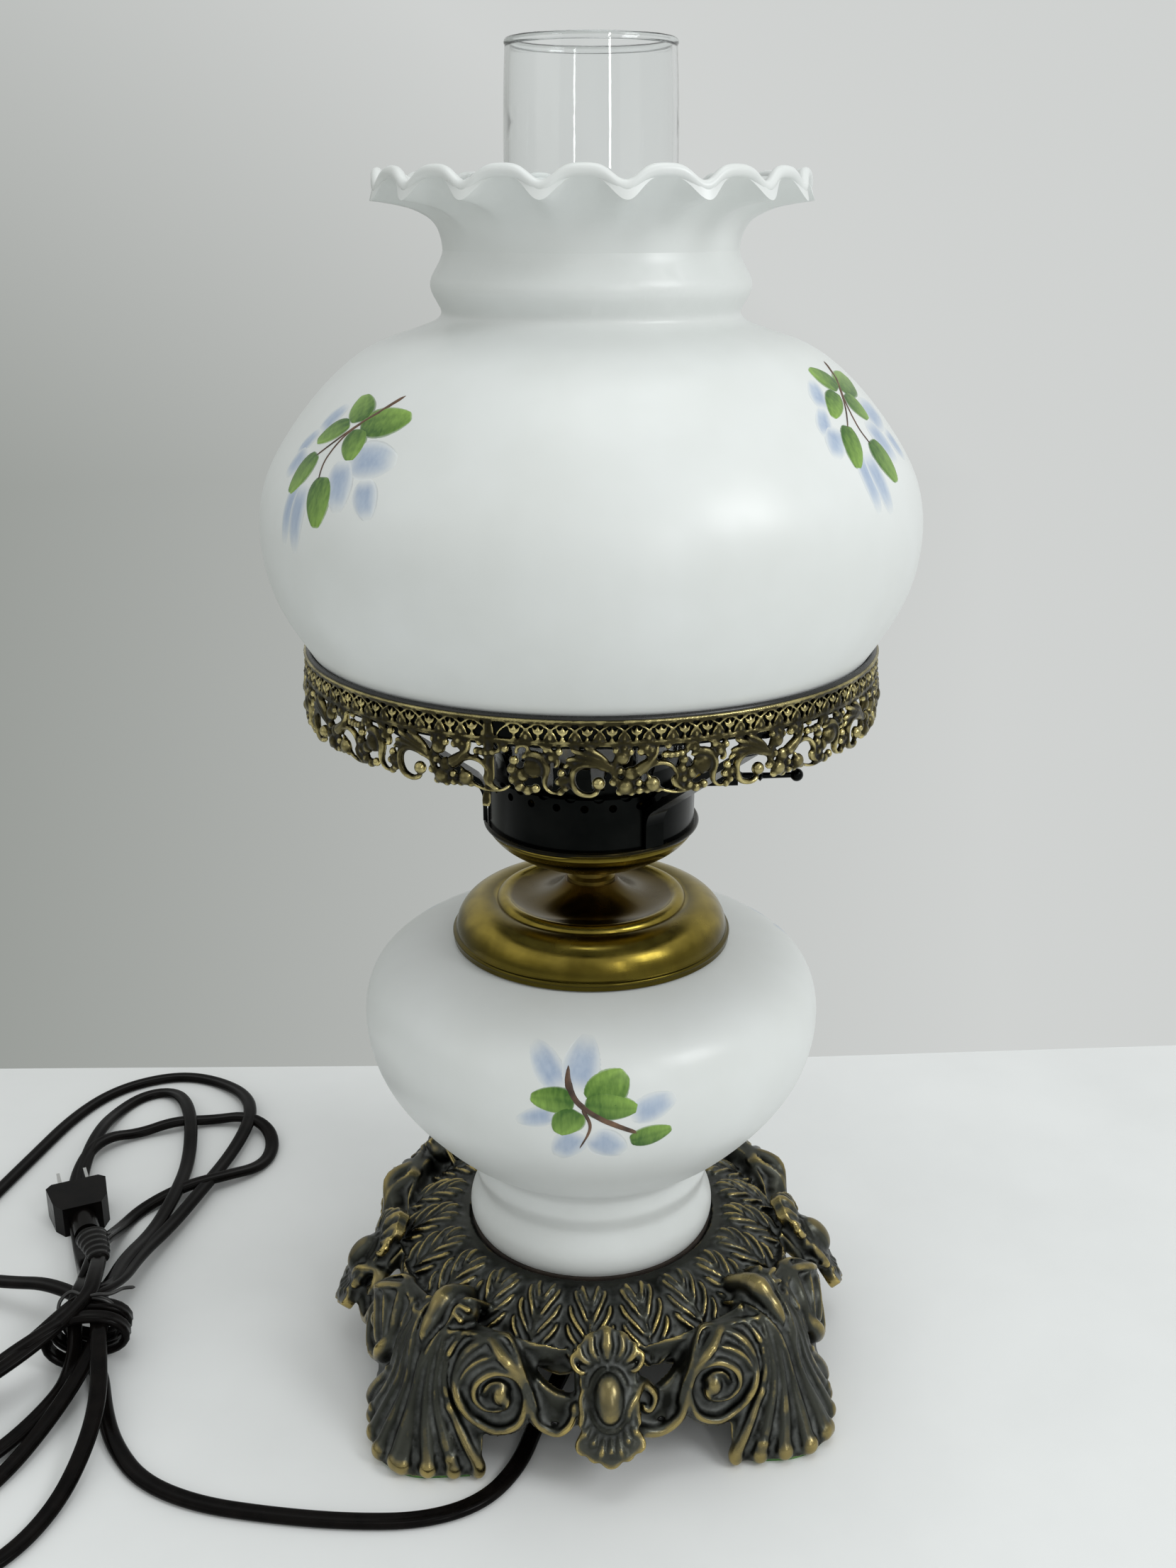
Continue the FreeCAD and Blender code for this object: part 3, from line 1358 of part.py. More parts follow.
def cord():
    """Bushing, lead inside the pipe, the laid cord, its tied hank, the plug and the tie."""
    radius = S.lead_radius.value
    flange_low = ROD_LOW_Z - S.bushing_flange
    turned(
        "cord_bushing",
        [
            (S.lead_radius, flange_low),
            (S.rod_radius + 1.6, flange_low),
            (S.rod_radius + 1.6, ROD_LOW_Z),
            (S.rod_bore, ROD_LOW_Z),
            (S.rod_bore, ROD_LOW_Z + 5.0),
            (S.lead_radius, ROD_LOW_Z + 5.0),
        ],
    )
    lead = DOC.addObject("Part::Cylinder", "inner_lead")
    bind(lead, "Radius", S.lead_radius)
    bind(lead, "Height", ROD_TOP_Z + 2.0 - flange_low)
    lead.Placement = Placement(Vector(0, 0, flange_low.value), Rotation())
    bind(lead, "Placement.Base.z", flange_low)
    keep(lead, "inner_lead")

    route = [(0.0, 0.0, flange_low.value), *CORD_ROUTE[1:]]
    path, radii = rounded_path(route)
    print("cord radii:", [round(r, 1) for r in radii])
    section = Part.Wire(Part.makeCircle(radius, Vector(*route[0]), path.Edges[0].tangentAt(0)))
    tube = path.makePipeShell([section], True, True)
    expected = math.pi * radius**2 * path.Length
    print(f"cord tube volume {tube.Volume:.0f}, section x length {expected:.0f}")
    run = DOC.addObject("Part::Feature", "cord_run")
    run.Shape = tube
    keep(run, "cord_run")

    upper = [
        (-214, 2), (-199, 47), (-186, 98), (-158, 112), (-148, 146), (-160, 192), (-186, 222),
        (-213, 234), (-242, 226), (-268, 190), (-284, 130), (-300, 60), (-262, 20), (-234, 8),
    ]
    lower = [
        (-206, -4), (-196, -55), (-203, -92), (-228, -128), (-262, -138), (-292, -112),
        (-286, -66), (-246, -30), (-230, -4),
    ]

    def slab(points):
        """A flat lobe of the hank, its smooth outline cut into short straight edges."""
        curve = Part.BSplineCurve()
        curve.interpolate([Vector(x, y, 0) for x, y in points], PeriodicFlag=True)
        corners = curve.discretize(Number=HANK_EDGES)
        corners[-1] = corners[0]
        return Part.Face(Part.makePolygon(corners)).extrude(Vector(0, 0, HANK_HEIGHT))

    tie_radius, wire_radius = 12.1, 1.1
    axis_z = tie_radius + wire_radius
    waist_radius = tie_radius - wire_radius
    waist = Part.makeCylinder(
        waist_radius, 44.0, Vector(TIE_X, TIE_Y - 22.0, axis_z), Vector(0, 1, 0)
    )
    bundle = slab(upper).fuse([slab(lower), waist])
    hank = DOC.addObject("Part::Feature", "cord_hank")
    hank.Shape = bundle
    keep(hank, "cord_hank")

    place = Placement(Vector(-244.0, 104.0, 0), Rotation(Vector(0, 0, 1), 20.4))
    plug = new_body("plug_body")
    plug.Placement = place
    outline = new_sketch(plug, "plug_outline", "XY_Plane")
    half, length = S.plug_width / 2.0, S.plug_length
    add_outline(
        outline,
        [
            (-(half - 3.0), 0.0),
            (-half, -3.0),
            (-(half - 1.5), -(length - 6.0)),
            (-(half - 5.0), -length),
            (half - 5.0, -length),
            (half - 1.5, -(length - 6.0)),
            (half, -3.0),
            (half - 3.0, 0.0),
        ],
    )
    padded(plug, "plug_block", outline, S.plug_thick)
    relief = new_sketch(plug, "relief_outline")
    relief.AttachmentOffset = Placement(Vector(0, 0, length.value), Rotation())
    bind(relief, "AttachmentOffset.Base.z", length)
    middle = S.plug_thick / 2.0
    add_circle(relief, 0.0, middle, 6.0)
    padded(plug, "relief_root", relief, 14.0)
    for number in range(3):
        rib = new_sketch(plug, f"rib_outline_{number}")
        at = length + 14.0 + number * 7.0
        rib.AttachmentOffset = Placement(Vector(0, 0, at.value), Rotation())
        bind(rib, "AttachmentOffset.Base.z", at)
        add_circle(rib, 0.0, middle, 4.0)
        padded(plug, f"rib_core_{number}", rib, 7.0)
        ring = new_sketch(plug, f"rib_ring_outline_{number}")
        ring.AttachmentOffset = Placement(Vector(0, 0, at.value + 2.0), Rotation())
        bind(ring, "AttachmentOffset.Base.z", at + 2.0)
        add_circle(ring, 0.0, middle, 5.4 - 0.4 * number)
        padded(plug, f"rib_ring_{number}", ring, 3.4)
    keep(plug, "plug_body")
    blades = new_body("plug_blades")
    blades.Placement = place
    blade = new_sketch(blades, "blade_outline")
    for side in (-1.0, 1.0):
        x = S.blade_gap * (side / 2.0)
        add_outline(
            blade,
            [
                (x - 0.75, middle - 3.2),
                (x + 0.75, middle - 3.2),
                (x + 0.75, middle + 3.2),
                (x - 0.75, middle + 3.2),
            ],
        )
    padded(blades, "blade", blade, S.blade_length, reverse=True)
    keep(blades, "plug_blades")
    tie = DOC.addObject("Part::Torus", "twist_tie")
    tie.Radius1 = tie_radius
    tie.Radius2 = wire_radius
    tie.Placement = Placement(Vector(TIE_X, TIE_Y, axis_z), Rotation(Vector(1, 0, 0), 90))
    keep(tie, "twist_tie")


def check_and_export():
    DOC.recompute()
    faulty = [
        obj.Name for obj in DOC.Objects if {"Invalid", "Error"}.intersection(obj.State)
    ]
    if faulty:
        raise RuntimeError(f"not computed: {faulty}")
    os.makedirs("parts", exist_ok=True)
    for obj in NODES:
        shape = obj.Shape
        if shape.isNull() or not shape.isValid():
            raise RuntimeError(f"{obj.Label} has no valid shape")
        shape.exportStep(f"parts/{obj.Label}.step")
        print(f"{obj.Label}: {len(shape.Solids)} solid(s), {shape.Volume:.0f} mm3")


base_casting()
felt_pads()
fixings()
font()
cap_and_neck()
burner()
socket()
turn_key()
bulb()
chimney()
shade_holder()
shade()
cord()
check_and_export()
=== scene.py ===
"""Studio picture of an electrified parlour lamp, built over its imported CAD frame."""

import math

import bpy
import numpy as np
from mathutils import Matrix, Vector
from mathutils.bvhtree import BVHTree


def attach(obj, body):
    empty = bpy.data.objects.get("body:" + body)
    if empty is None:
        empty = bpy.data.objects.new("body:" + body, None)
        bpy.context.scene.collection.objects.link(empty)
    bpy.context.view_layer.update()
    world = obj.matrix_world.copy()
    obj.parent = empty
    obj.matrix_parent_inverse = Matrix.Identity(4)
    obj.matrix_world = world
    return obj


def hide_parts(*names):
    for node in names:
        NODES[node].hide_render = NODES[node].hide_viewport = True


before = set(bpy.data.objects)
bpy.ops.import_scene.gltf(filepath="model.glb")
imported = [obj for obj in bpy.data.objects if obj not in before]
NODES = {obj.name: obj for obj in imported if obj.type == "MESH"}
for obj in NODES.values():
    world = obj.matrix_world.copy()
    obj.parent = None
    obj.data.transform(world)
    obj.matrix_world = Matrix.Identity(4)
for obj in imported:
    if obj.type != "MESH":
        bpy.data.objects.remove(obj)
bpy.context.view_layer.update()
MM = 0.001


# ---------------------------------------------------------------- mesh helpers
def new_object(name, mesh, material, body=None):
    """Links a mesh as a piece, with its material and the body that it rides on."""
    piece = bpy.data.objects.new(name, mesh)
    bpy.context.scene.collection.objects.link(piece)
    piece.data.materials.append(material)
    if body is not None:
        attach(piece, body)
    return piece


def mesh_from(name, vertices, faces):
    """A smooth-shaded mesh from vertices in millimetres."""
    mesh = bpy.data.meshes.new(name)
    mesh.from_pydata([tuple(c * MM for c in v) for v in vertices], [], faces)
    mesh.validate()
    mesh.shade_smooth()
    return mesh


def slotted(name, vertices, faces, material, body):
    """A piece from vertices in millimetres, with its material and the body that it rides on."""
    piece = new_object(name, mesh_from(name, vertices, faces), material, body)
    return piece


def add_layers(mesh, layers):
    """Writes one number per vertex under each name that has any."""
    for name, values in layers.items():
        if len(values):
            layer = mesh.attributes.new(name, "FLOAT", "POINT")
            layer.data.foreach_set("value", values)


def read(items, key, width, kind=float):
    """A mesh's numbers, in rows."""
    numbers = np.empty(len(items) * width, kind)
    items.foreach_get(key, numbers)
    return numbers.reshape(-1, width)


def node_parts(node):
    """A CAD node's vertices in millimetres, and its faces."""
    mesh = NODES[node].data
    return read(mesh.vertices, "co", 3) / MM, [tuple(polygon.vertices) for polygon in mesh.polygons]


def units(rows, least=1e-9):
    """The same vectors at unit length."""
    return rows / np.maximum(np.linalg.norm(rows, axis=1), least)[:, None]


def tube_faces(rings, sides):
    """Quads between rings of equal size, with an n-gon at each end."""
    faces = []
    for ring in range(rings - 1):
        a, b = ring * sides, (ring + 1) * sides
        for side in range(sides):
            after = (side + 1) % sides
            faces.append((a + side, a + after, b + after, b + side))
    faces.append(tuple(reversed(range(sides))))
    faces.append(tuple(range((rings - 1) * sides, rings * sides)))
    return faces


def hoop_faces(rings, sides):
    """Quads round a closed hoop of rings of equal size."""
    faces = []
    for ring in range(rings):
        a, b = ring * sides, (ring + 1) % rings * sides
        for side in range(sides):
            after = (side + 1) % sides
            faces.append((a + side, b + side, b + after, a + after))
    return faces


# ---------------------------------------------------------------- camera and lights
FOCAL_PX, FRAME_HEIGHT_PX, SHIFT_PX = 2300.0, 2212.0, -4.5
SENSOR_MM = 36.0
EYE_HEIGHT, EYE_DISTANCE = 459.0, 596.0
EYE_TURN, EYE_PITCH = math.radians(4.0), math.radians(19.4)


def make_camera():
    """The camera a little left of the -Y axis, looking down on the lamp."""
    data = bpy.data.cameras.new("camera")
    data.sensor_width = SENSOR_MM
    data.lens = FOCAL_PX / FRAME_HEIGHT_PX * data.sensor_width
    data.shift_x = SHIFT_PX / FRAME_HEIGHT_PX
    data.clip_start = 0.01
    camera = bpy.data.objects.new("camera", data)
    camera.location = (
        -EYE_DISTANCE * math.sin(EYE_TURN) * MM,
        -EYE_DISTANCE * math.cos(EYE_TURN) * MM,
        EYE_HEIGHT * MM,
    )
    camera.rotation_euler = (math.radians(90) - EYE_PITCH, 0.0, -EYE_TURN)
    bpy.context.scene.collection.objects.link(camera)
    bpy.context.scene.camera = camera


# Each light's name, place, target and size in metres, power in watts and colour.
LIGHTS = [
    ("key", (0.95, -0.75, 1.10), (0, 0, 0.25), (0.5, 0.5), 6.0, (0.97, 0.99, 1.0)),
    ("fill", (-1.2, -0.6, 0.8), (0, 0, 0.2), (0.9, 0.9), 0.8, (1.0, 1.0, 0.95)),
    ("window", (0.50, -1.35, 0.85), (0, 0, 0.40), (0.06, 0.80), 1.8, (1.0, 1.0, 1.0)),
    ("top", (0.10, -0.10, 1.7), (0, 0, 0.2), (1.0, 0.8), 4.0, (0.96, 1.0, 1.0)),
]


def area_light(name, place, target, size, power, colour):
    """A rectangular light that faces its target."""
    data = bpy.data.lights.new(name, "AREA")
    data.shape = "RECTANGLE"
    data.size, data.size_y = size
    data.energy = power
    data.color = colour
    light = bpy.data.objects.new(name, data)
    light.location = place
    light.rotation_euler = (Vector(target) - Vector(place)).to_track_quat("-Z", "Y").to_euler()
    bpy.context.scene.collection.objects.link(light)


ROOM_DIM, ROOM_BRIGHT = (0.305, 0.320, 0.300), (0.630, 0.645, 0.635)
# The room brightens between these two values of its direction's X, and of its Z.
ROOM_SPANS = {"X": (-0.32, 0.30), "Z": (-0.15, 0.35)}


def make_surroundings(scene):
    """A neutral room that grows brighter to the right and upwards."""
    world = bpy.data.worlds.new("studio")
    scene.world = world
    world.use_nodes = True
    tree = world.node_tree
    direction = tree.nodes.new("ShaderNodeTexCoord")
    split = tree.nodes.new("ShaderNodeSeparateXYZ")
    tree.links.new(direction.outputs["Generated"], split.inputs["Vector"])
    both = tree.nodes.new("ShaderNodeMath")
    both.use_clamp = True
    for number, (axis, (low, high)) in enumerate(ROOM_SPANS.items()):
        share = tree.nodes.new("ShaderNodeMapRange")
        share.inputs["From Min"].default_value = low
        share.inputs["From Max"].default_value = high
        tree.links.new(split.outputs[axis], share.inputs["Value"])
        tree.links.new(share.outputs["Result"], both.inputs[number])
    blend = tree.nodes.new("ShaderNodeMix")
    blend.data_type = "RGBA"
    blend.inputs[6].default_value = (*ROOM_DIM, 1.0)
    blend.inputs[7].default_value = (*ROOM_BRIGHT, 1.0)
    tree.links.new(both.outputs["Value"], blend.inputs[0])
    tree.links.new(blend.outputs[2], tree.nodes["Background"].inputs["Color"])


# The floor's corners in millimetres. Its back edge turns back on the left, so the hank lies on it.
FLOOR_HALF = 1500.0
FLOOR_CORNERS = [
    (-FLOOR_HALF, -FLOOR_HALF, 0),
    (FLOOR_HALF, -FLOOR_HALF, 0),
    (FLOOR_HALF, 218.0, 0),
    (0, 227.0, 0),
    (-FLOOR_HALF, 310.0, 0),
]


def make_studio():
    """The floor, the room, a key light on the right, a window strip, a weak fill and a top light."""
    scene = bpy.context.scene
    scene.view_settings.view_transform = "Standard"
    make_surroundings(scene)
    floor = new_object("floor", mesh_from("floor", FLOOR_CORNERS, [(0, 1, 2, 3, 4)]), floor_material())
    for light in LIGHTS:
        area_light(*light)


# ---------------------------------------------------------------- materials
NOISE_ROUGHNESS, TURNING_LINES = 0.55, 3000.0


class Nodes:
    """A small builder for a material's node tree."""

    def __init__(self, name):
        self.material = bpy.data.materials.new(name)
        self.material.use_nodes = True
        self.tree = self.material.node_tree
        self.shader = self.tree.nodes["Principled BSDF"]

    def add(self, kind):
        return self.tree.nodes.new(kind)

    def link(self, source, target):
        self.tree.links.new(source, target)

    def feed(self, value, socket):
        """Links an output to a socket, or sets a plain number or colour on it."""
        if isinstance(value, bpy.types.NodeSocket):
            self.link(value, socket)
        elif isinstance(value, tuple):
            socket.default_value = (*value, 1.0)
        else:
            socket.default_value = value

    def set(self, **values):
        """Constant values on the shader's own sockets."""
        for key, value in values.items():
            self.shader.inputs[key.replace("_", " ")].default_value = value

    def place(self, scale=(1.0, 1.0, 1.0)):
        """Object coordinates, stretched."""
        coordinates = self.add("ShaderNodeTexCoord")
        mapping = self.add("ShaderNodeMapping")
        mapping.inputs["Scale"].default_value = scale
        self.link(coordinates.outputs["Object"], mapping.inputs["Vector"])
        return mapping.outputs["Vector"]

    def attribute(self, name):
        node = self.add("ShaderNodeAttribute")
        node.attribute_name = name
        return node.outputs["Fac"]

    def maths(self, operation, first, second):
        node = self.add("ShaderNodeMath")
        node.operation = operation
        self.feed(first, node.inputs[0])
        self.feed(second, node.inputs[1])
        return node.outputs["Value"]

    def noise(self, scale, detail=4.0, stretch=(1.0, 1.0, 1.0)):
        node = self.add("ShaderNodeTexNoise")
        for name, value in (("Scale", scale), ("Detail", detail), ("Roughness", NOISE_ROUGHNESS)):
            node.inputs[name].default_value = value
        self.link(self.place(stretch), node.inputs["Vector"])
        return node.outputs["Fac"]

    def ramp(self, factor, stops):
        node = self.add("ShaderNodeValToRGB")
        elements = node.color_ramp.elements
        while len(elements) < len(stops):
            elements.new(0.5)
        for element, (position, colour) in zip(elements, stops):
            element.position = position
            element.color = (*colour, 1.0)
        self.link(factor, node.inputs["Fac"])
        return node.outputs["Color"]

    def two_tone(self, factor, dark, light, start=0.35):
        """A colour that drifts between two tones."""
        return self.ramp(factor, [(start, dark), (1 - start, light)])

    def grey(self, factor, low, high, start=0.3, end=0.7):
        """The factor spread over a range of plain numbers."""
        node = self.add("ShaderNodeMapRange")
        for name, value in (("From Min", start), ("From Max", end), ("To Min", low), ("To Max", high)):
            node.inputs[name].default_value = value
        self.link(factor, node.inputs["Value"])
        return node.outputs["Result"]

    def mix(self, factor, first, second):
        node = self.add("ShaderNodeMix")
        node.data_type = "RGBA"
        for value, number in ((factor, 0), (first, 6), (second, 7)):
            self.feed(value, node.inputs[number])
        return node.outputs[2]

    def bump(self, height, strength, distance):
        node = self.add("ShaderNodeBump")
        node.inputs["Strength"].default_value = strength
        node.inputs["Distance"].default_value = distance
        self.link(height, node.inputs["Height"])
        self.link(node.outputs["Normal"], self.shader.inputs["Normal"])

    def colour(self, socket):
        self.link(socket, self.shader.inputs["Base Color"])

    def rough(self, socket):
        self.link(socket, self.shader.inputs["Roughness"])


def floor_material():
    m = Nodes("table")
    m.colour(m.two_tone(m.noise(9.0), (0.80, 0.81, 0.81), (0.84, 0.85, 0.85)))
    m.set(Roughness=0.6, Specular_IOR_Level=0.25)
    m.bump(m.noise(400.0), 0.05, 0.0004)
    return m.material


def opal_colour(m):
    """The cloudy white that opal glass and the faded edges of its paint share."""
    return m.two_tone(m.noise(22.0, 3.0), (0.69, 0.71, 0.695), (0.735, 0.757, 0.75), 0.3)


def opal_material(name):
    """Satin white pressed glass, a little cool and cloudy."""
    m = Nodes(name)
    m.colour(opal_colour(m))
    m.set(IOR=1.5)
    m.rough(m.grey(m.noise(60.0), 0.30, 0.38))
    return m.material


def spun_material(name, axis, low, high, stops, rough):
    """Spun metal coloured in bands by radius or by height, in mm, that follow its turned form; the bands hold
    the metal's own tones and, on the cap, painted highlights and painted shade.
    """
    m = Nodes(name)
    split = m.add("ShaderNodeSeparateXYZ")
    m.link(m.place(), split.inputs["Vector"])
    if axis == "radius":
        x, y = split.outputs["X"], split.outputs["Y"]
        squares = m.maths("ADD", m.maths("MULTIPLY", x, x), m.maths("MULTIPLY", y, y))
        place = m.maths("SQRT", squares, 0.0)
    else:
        place = split.outputs["Z"]
    share = m.grey(place, 0.0, 1.0, low * MM, high * MM)
    wander = m.grey(m.noise(40.0), -0.03, 0.03)
    bands = [((where - low) / (high - low), colour) for where, colour in stops]
    base = m.ramp(m.maths("ADD", share, wander), bands)
    tarnish = m.grey(m.noise(110.0, 6.0), 0.0, 0.40, 0.42, 0.75)
    m.colour(m.mix(tarnish, base, (0.05, 0.035, 0.006)))
    m.set(Metallic=1.0)
    m.rough(m.maths("MULTIPLY", m.grey(m.noise(60.0, 6.0), 0.55, 1.15), rough))
    m.bump(m.noise(TURNING_LINES, 2.0, (0.03, 0.03, 1.0)), 0.10, 0.00015)
    return m.material


def clear_glass_material():
    m = Nodes("clear_glass")
    streaks = m.noise(12.0, stretch=(1.0, 1.0, 0.2))
    m.colour(m.two_tone(streaks, (0.96, 0.97, 0.97), (0.99, 1.0, 1.0), 0.3))
    m.set(Transmission_Weight=1.0, Roughness=0.01, IOR=1.47)
    return m.material


def brass_material(name, dark, bright, rough=(0.26, 0.42)):
    """Spun or stamped metal with fine turning lines and a cloudy colour."""
    m = Nodes(name)
    m.colour(m.two_tone(m.noise(55.0, 5.0), dark, bright))
    m.set(Metallic=1.0)
    m.rough(m.grey(m.noise(90.0), *rough))
    m.bump(m.noise(TURNING_LINES, 2.0, (0.02, 0.02, 1.0)), 0.06, 0.0002)
    return m.material


def plastic_material(name, dark, light, rough, gloss=0.5):
    m = Nodes(name)
    m.set(Specular_IOR_Level=gloss)
    m.colour(m.two_tone(m.noise(120.0), dark, light))
    m.rough(m.grey(m.noise(300.0), rough - 0.05, rough + 0.06))
    m.bump(m.noise(2500.0, 2.0), 0.08, 0.0001)
    return m.material


def felt_material():
    m = Nodes("felt")
    m.colour(m.two_tone(m.noise(500.0), (0.02, 0.10, 0.02), (0.10, 0.26, 0.05), 0.3))
    m.set(Roughness=0.95, Sheen_Weight=0.4)
    m.bump(m.noise(1500.0), 0.6, 0.0006)
    return m.material


def patina_material(name, hollow, dust, body, gold, raised, broad, rough):
    """Antiqued metal: dusty dark hollows, a bronze body and gold on what stands out, partly rubbed wear and
    partly painted highlight.
    """
    m = Nodes(name)
    wander = m.grey(m.noise(90.0, 5.0), -0.5 * raised, 0.5 * raised)
    height = m.maths("ADD", m.attribute("raised"), wander)
    broad_wander = m.grey(m.noise(35.0), -0.4 * broad, 0.4 * broad)
    broad_height = m.maths("ADD", m.attribute("raised_broad"), broad_wander)
    base = m.mix(m.grey(broad_height, 0.0, 1.0, -0.5 * broad, 0.9 * broad), hollow, body)
    # Gold on ridges and tops is partly real rubbed wear and partly a painted highlight.
    worn_and_highlit_edges = m.grey(height, 0.0, 1.0, 0.8 * raised, 2.2 * raised)
    tops = m.grey(broad_height, 0.0, 0.8, 1.1 * broad, 2.6 * broad)
    rubbed_and_highlit = m.maths("MAXIMUM", worn_and_highlit_edges, tops)
    shaded = m.mix(rubbed_and_highlit, base, gold)
    sunk = m.grey(height, 1.0, 0.0, -1.2 * raised, 0.0)
    low = m.maths("MULTIPLY", sunk, m.grey(m.noise(160.0, 3.0), 0.35, 1.0))
    dusty = m.maths("MULTIPLY", low, 0.75)
    m.colour(m.mix(dusty, shaded, dust))
    m.link(m.grey(dusty, 1.0, 0.25, 0.0, 0.75), m.shader.inputs["Metallic"])
    polish = m.grey(rubbed_and_highlit, rough[1], rough[0], 0.0, 1.0)
    m.rough(m.maths("ADD", polish, m.maths("MULTIPLY", dusty, 0.35)))
    m.bump(m.noise(900.0, 3.0), 0.12, 0.0003)
    return m.material


def paint_material(name, dark, light, strength):
    """Enamel brushed on opal glass: thin at the edges, darker where the brush set down."""
    m = Nodes(name)
    streaks = m.grey(m.noise(700.0, 2.0, (1.0, 1.0, 0.25)), -0.16, 0.16)
    colour = m.mix(m.maths("ADD", m.attribute("tone"), streaks), dark, light)
    m.colour(m.mix(m.maths("MULTIPLY", m.attribute("paint"), strength), opal_colour(m), colour))
    m.set(Roughness=0.34, IOR=1.5)
    return m.material


def paint_nodes(material, *nodes):
    """Gives CAD nodes that stay in the picture their material."""
    for node in nodes:
        materials = NODES[node].data.materials
        materials.clear()
        materials.append(material)


# ---------------------------------------------------------------- cord
CORD_WIDTH, CORD_THICK, CORD_STEP = 7.0, 3.5, 3.0
# From the foot along the floor to the hank.
RUN_POINTS = [
    (0.0, 0.0, 37.4), (0.0, -1.5, 24.0), (-3.0, -9.0, 13.0), (-8.5, -23.0, 5.5), (-17.0, -42.0, 2.7),
    (-26.0, -64.0, 2.2), (-34.0, -88.0, 2.0), (-48.0, -106.0, 2.0), (-70.0, -113.5, 2.0),
    (-98.0, -112.0, 2.0), (-128.0, -106.5, 2.0), (-156.0, -99.0, 2.0), (-178.0, -86.0, 2.0),
    (-191.0, -68.0, 2.0), (-199.0, -50.0, 3.0),
]
TIE_X, TIE_Y = -213.0, -3.0
# The hank's turns, each a list of floor points in the order in which the cord runs through them.
UPPER_A = [
    (-218, 18), (-221, 48), (-219, 80), (-211, 98), (-193, 109), (-174, 117), (-158, 130),
    (-154, 148), (-159, 165), (-172, 174), (-190, 177), (-208, 171), (-226, 166), (-239, 158),
    (-247, 145), (-248, 119), (-243, 94), (-234, 65), (-226, 40), (-219, 18),
]
LOWER_A = [
    (-216, -24), (-222, -48), (-237, -70), (-258, -88), (-280, -92), (-294, -78), (-290, -58),
    (-268, -42), (-243, -32), (-226, -22),
]
UPPER_B = [
    (-209, 18), (-208, 42), (-201, 71), (-196, 103), (-195, 134), (-199, 169), (-207, 196),
    (-218, 209), (-231, 205), (-241, 190), (-246, 165), (-247, 132), (-242, 100), (-233, 65),
    (-222, 30),
]
LOWER_B = [
    (-210, -26), (-219, -54), (-232, -82), (-251, -108), (-274, -124), (-296, -118),
    (-301, -94), (-288, -68), (-262, -48), (-236, -30),
]
UPPER_C = [
    (-206, 20), (-203, 48), (-194, 75), (-185, 102), (-174, 140), (-168, 172), (-174, 198),
    (-192, 218), (-213, 226), (-235, 220), (-252, 206), (-265, 182), (-275, 150), (-285, 118),
    (-294, 88), (-292, 58), (-276, 36), (-254, 24), (-234, 16),
]
LOWER_C = [
    (-205, -26), (-200, -51), (-201, -74), (-207, -98), (-219, -121), (-239, -136), (-262, -138),
    (-283, -126), (-292, -102), (-281, -74), (-255, -50), (-230, -28),
]
PLUG_END = [(-214, 14), (-216, 30), (-221, 44), (-225.5, 55)]


def smooth_line(points):
    """Points along the NURBS spline that has these control points."""
    curve = bpy.data.curves.new("route", "CURVE")
    curve.dimensions = "3D"
    spline = curve.splines.new("NURBS")
    spline.points.add(len(points) - 1)
    for target, point in zip(spline.points, points):
        target.co = (*(c * MM for c in point), 1.0)
    spline.order_u = 3
    spline.use_endpoint_u = True
    spline.resolution_u = 12
    carrier = bpy.data.objects.new("route", curve)
    mesh = bpy.data.meshes.new_from_object(carrier)
    line = np.array([vertex.co for vertex in mesh.vertices]) / MM
    bpy.data.objects.remove(carrier)
    bpy.data.meshes.remove(mesh)
    bpy.data.curves.remove(curve)
    steps = np.linalg.norm(np.diff(line, axis=0), axis=1)
    return line[np.concatenate([[True], steps > 1e-4])]


def evenly(line, step):
    """The same line at equal steps."""
    lengths = np.concatenate([[0.0], np.cumsum(np.linalg.norm(np.diff(line, axis=0), axis=1))])
    places = np.linspace(0.0, lengths[-1], max(int(lengths[-1] / step), 2))
    return np.stack([np.interp(places, lengths, line[:, axis]) for axis in range(3)], axis=1)


# How the cord lies over itself, in millimetres: the rise, how near counts as over, the steepest rise
# per step, the length just behind a place that doesn't count, and the step at which it is looked at.
LAY_LIFT, LAY_REACH, LAY_SLOPE, LAY_SKIP, LAY_STEP = 4.0, 6.4, 0.44, 30.0, 2.0


def stacked(points):
    """Raises each control point where the cord there lies over what was laid before it."""
    line = evenly(smooth_line([(x, y, 0.0) for x, y, _ in points]), LAY_STEP)[:, :2]
    flat = np.array([(x, y) for x, y, _ in points])
    owner = np.array([np.argmin(np.hypot(*(flat - q).T)) for q in line])
    height = np.array([points[k][2] for k in owner], float)
    skip = int(LAY_SKIP / LAY_STEP)
    for number in range(skip, len(line)):
        near = np.hypot(*(line[: number - skip] - line[number]).T)
        below = height[: number - skip][near < LAY_REACH]
        if len(below):
            height[number] = max(height[number], below.max() + LAY_LIFT)
    for number in range(1, len(line)):
        height[number] = max(height[number], height[number - 1] - LAY_SLOPE)
    for number in range(len(line) - 2, -1, -1):
        height[number] = max(height[number], height[number + 1] - LAY_SLOPE)
    lifted = []
    for number, (x, y, z) in enumerate(points):
        mine = height[owner == number]
        lifted.append((x, y, float(mine.max()) if len(mine) else z))
    return lifted


FLOOR_Z, BUNDLE_FLOOR_Z = 1.9, 5.6
# The turns round the bundle: how many, in how many points each, half their width and height, the
# height of their middle, where they start, what they advance and how much they shrink.
WRAP_TURNS, WRAP_POINTS = 2, 10
WRAP_ACROSS, WRAP_UP, WRAP_Z = 17.5, 11.0, 13.0
WRAP_START, WRAP_Y, WRAP_PITCH, WRAP_SHRINK = 0.2, -15.0, 9.0, 0.10
TIE_COLUMNS = (-219.5, -212.5, -206.0, -217.0, -209.5, -213.0)


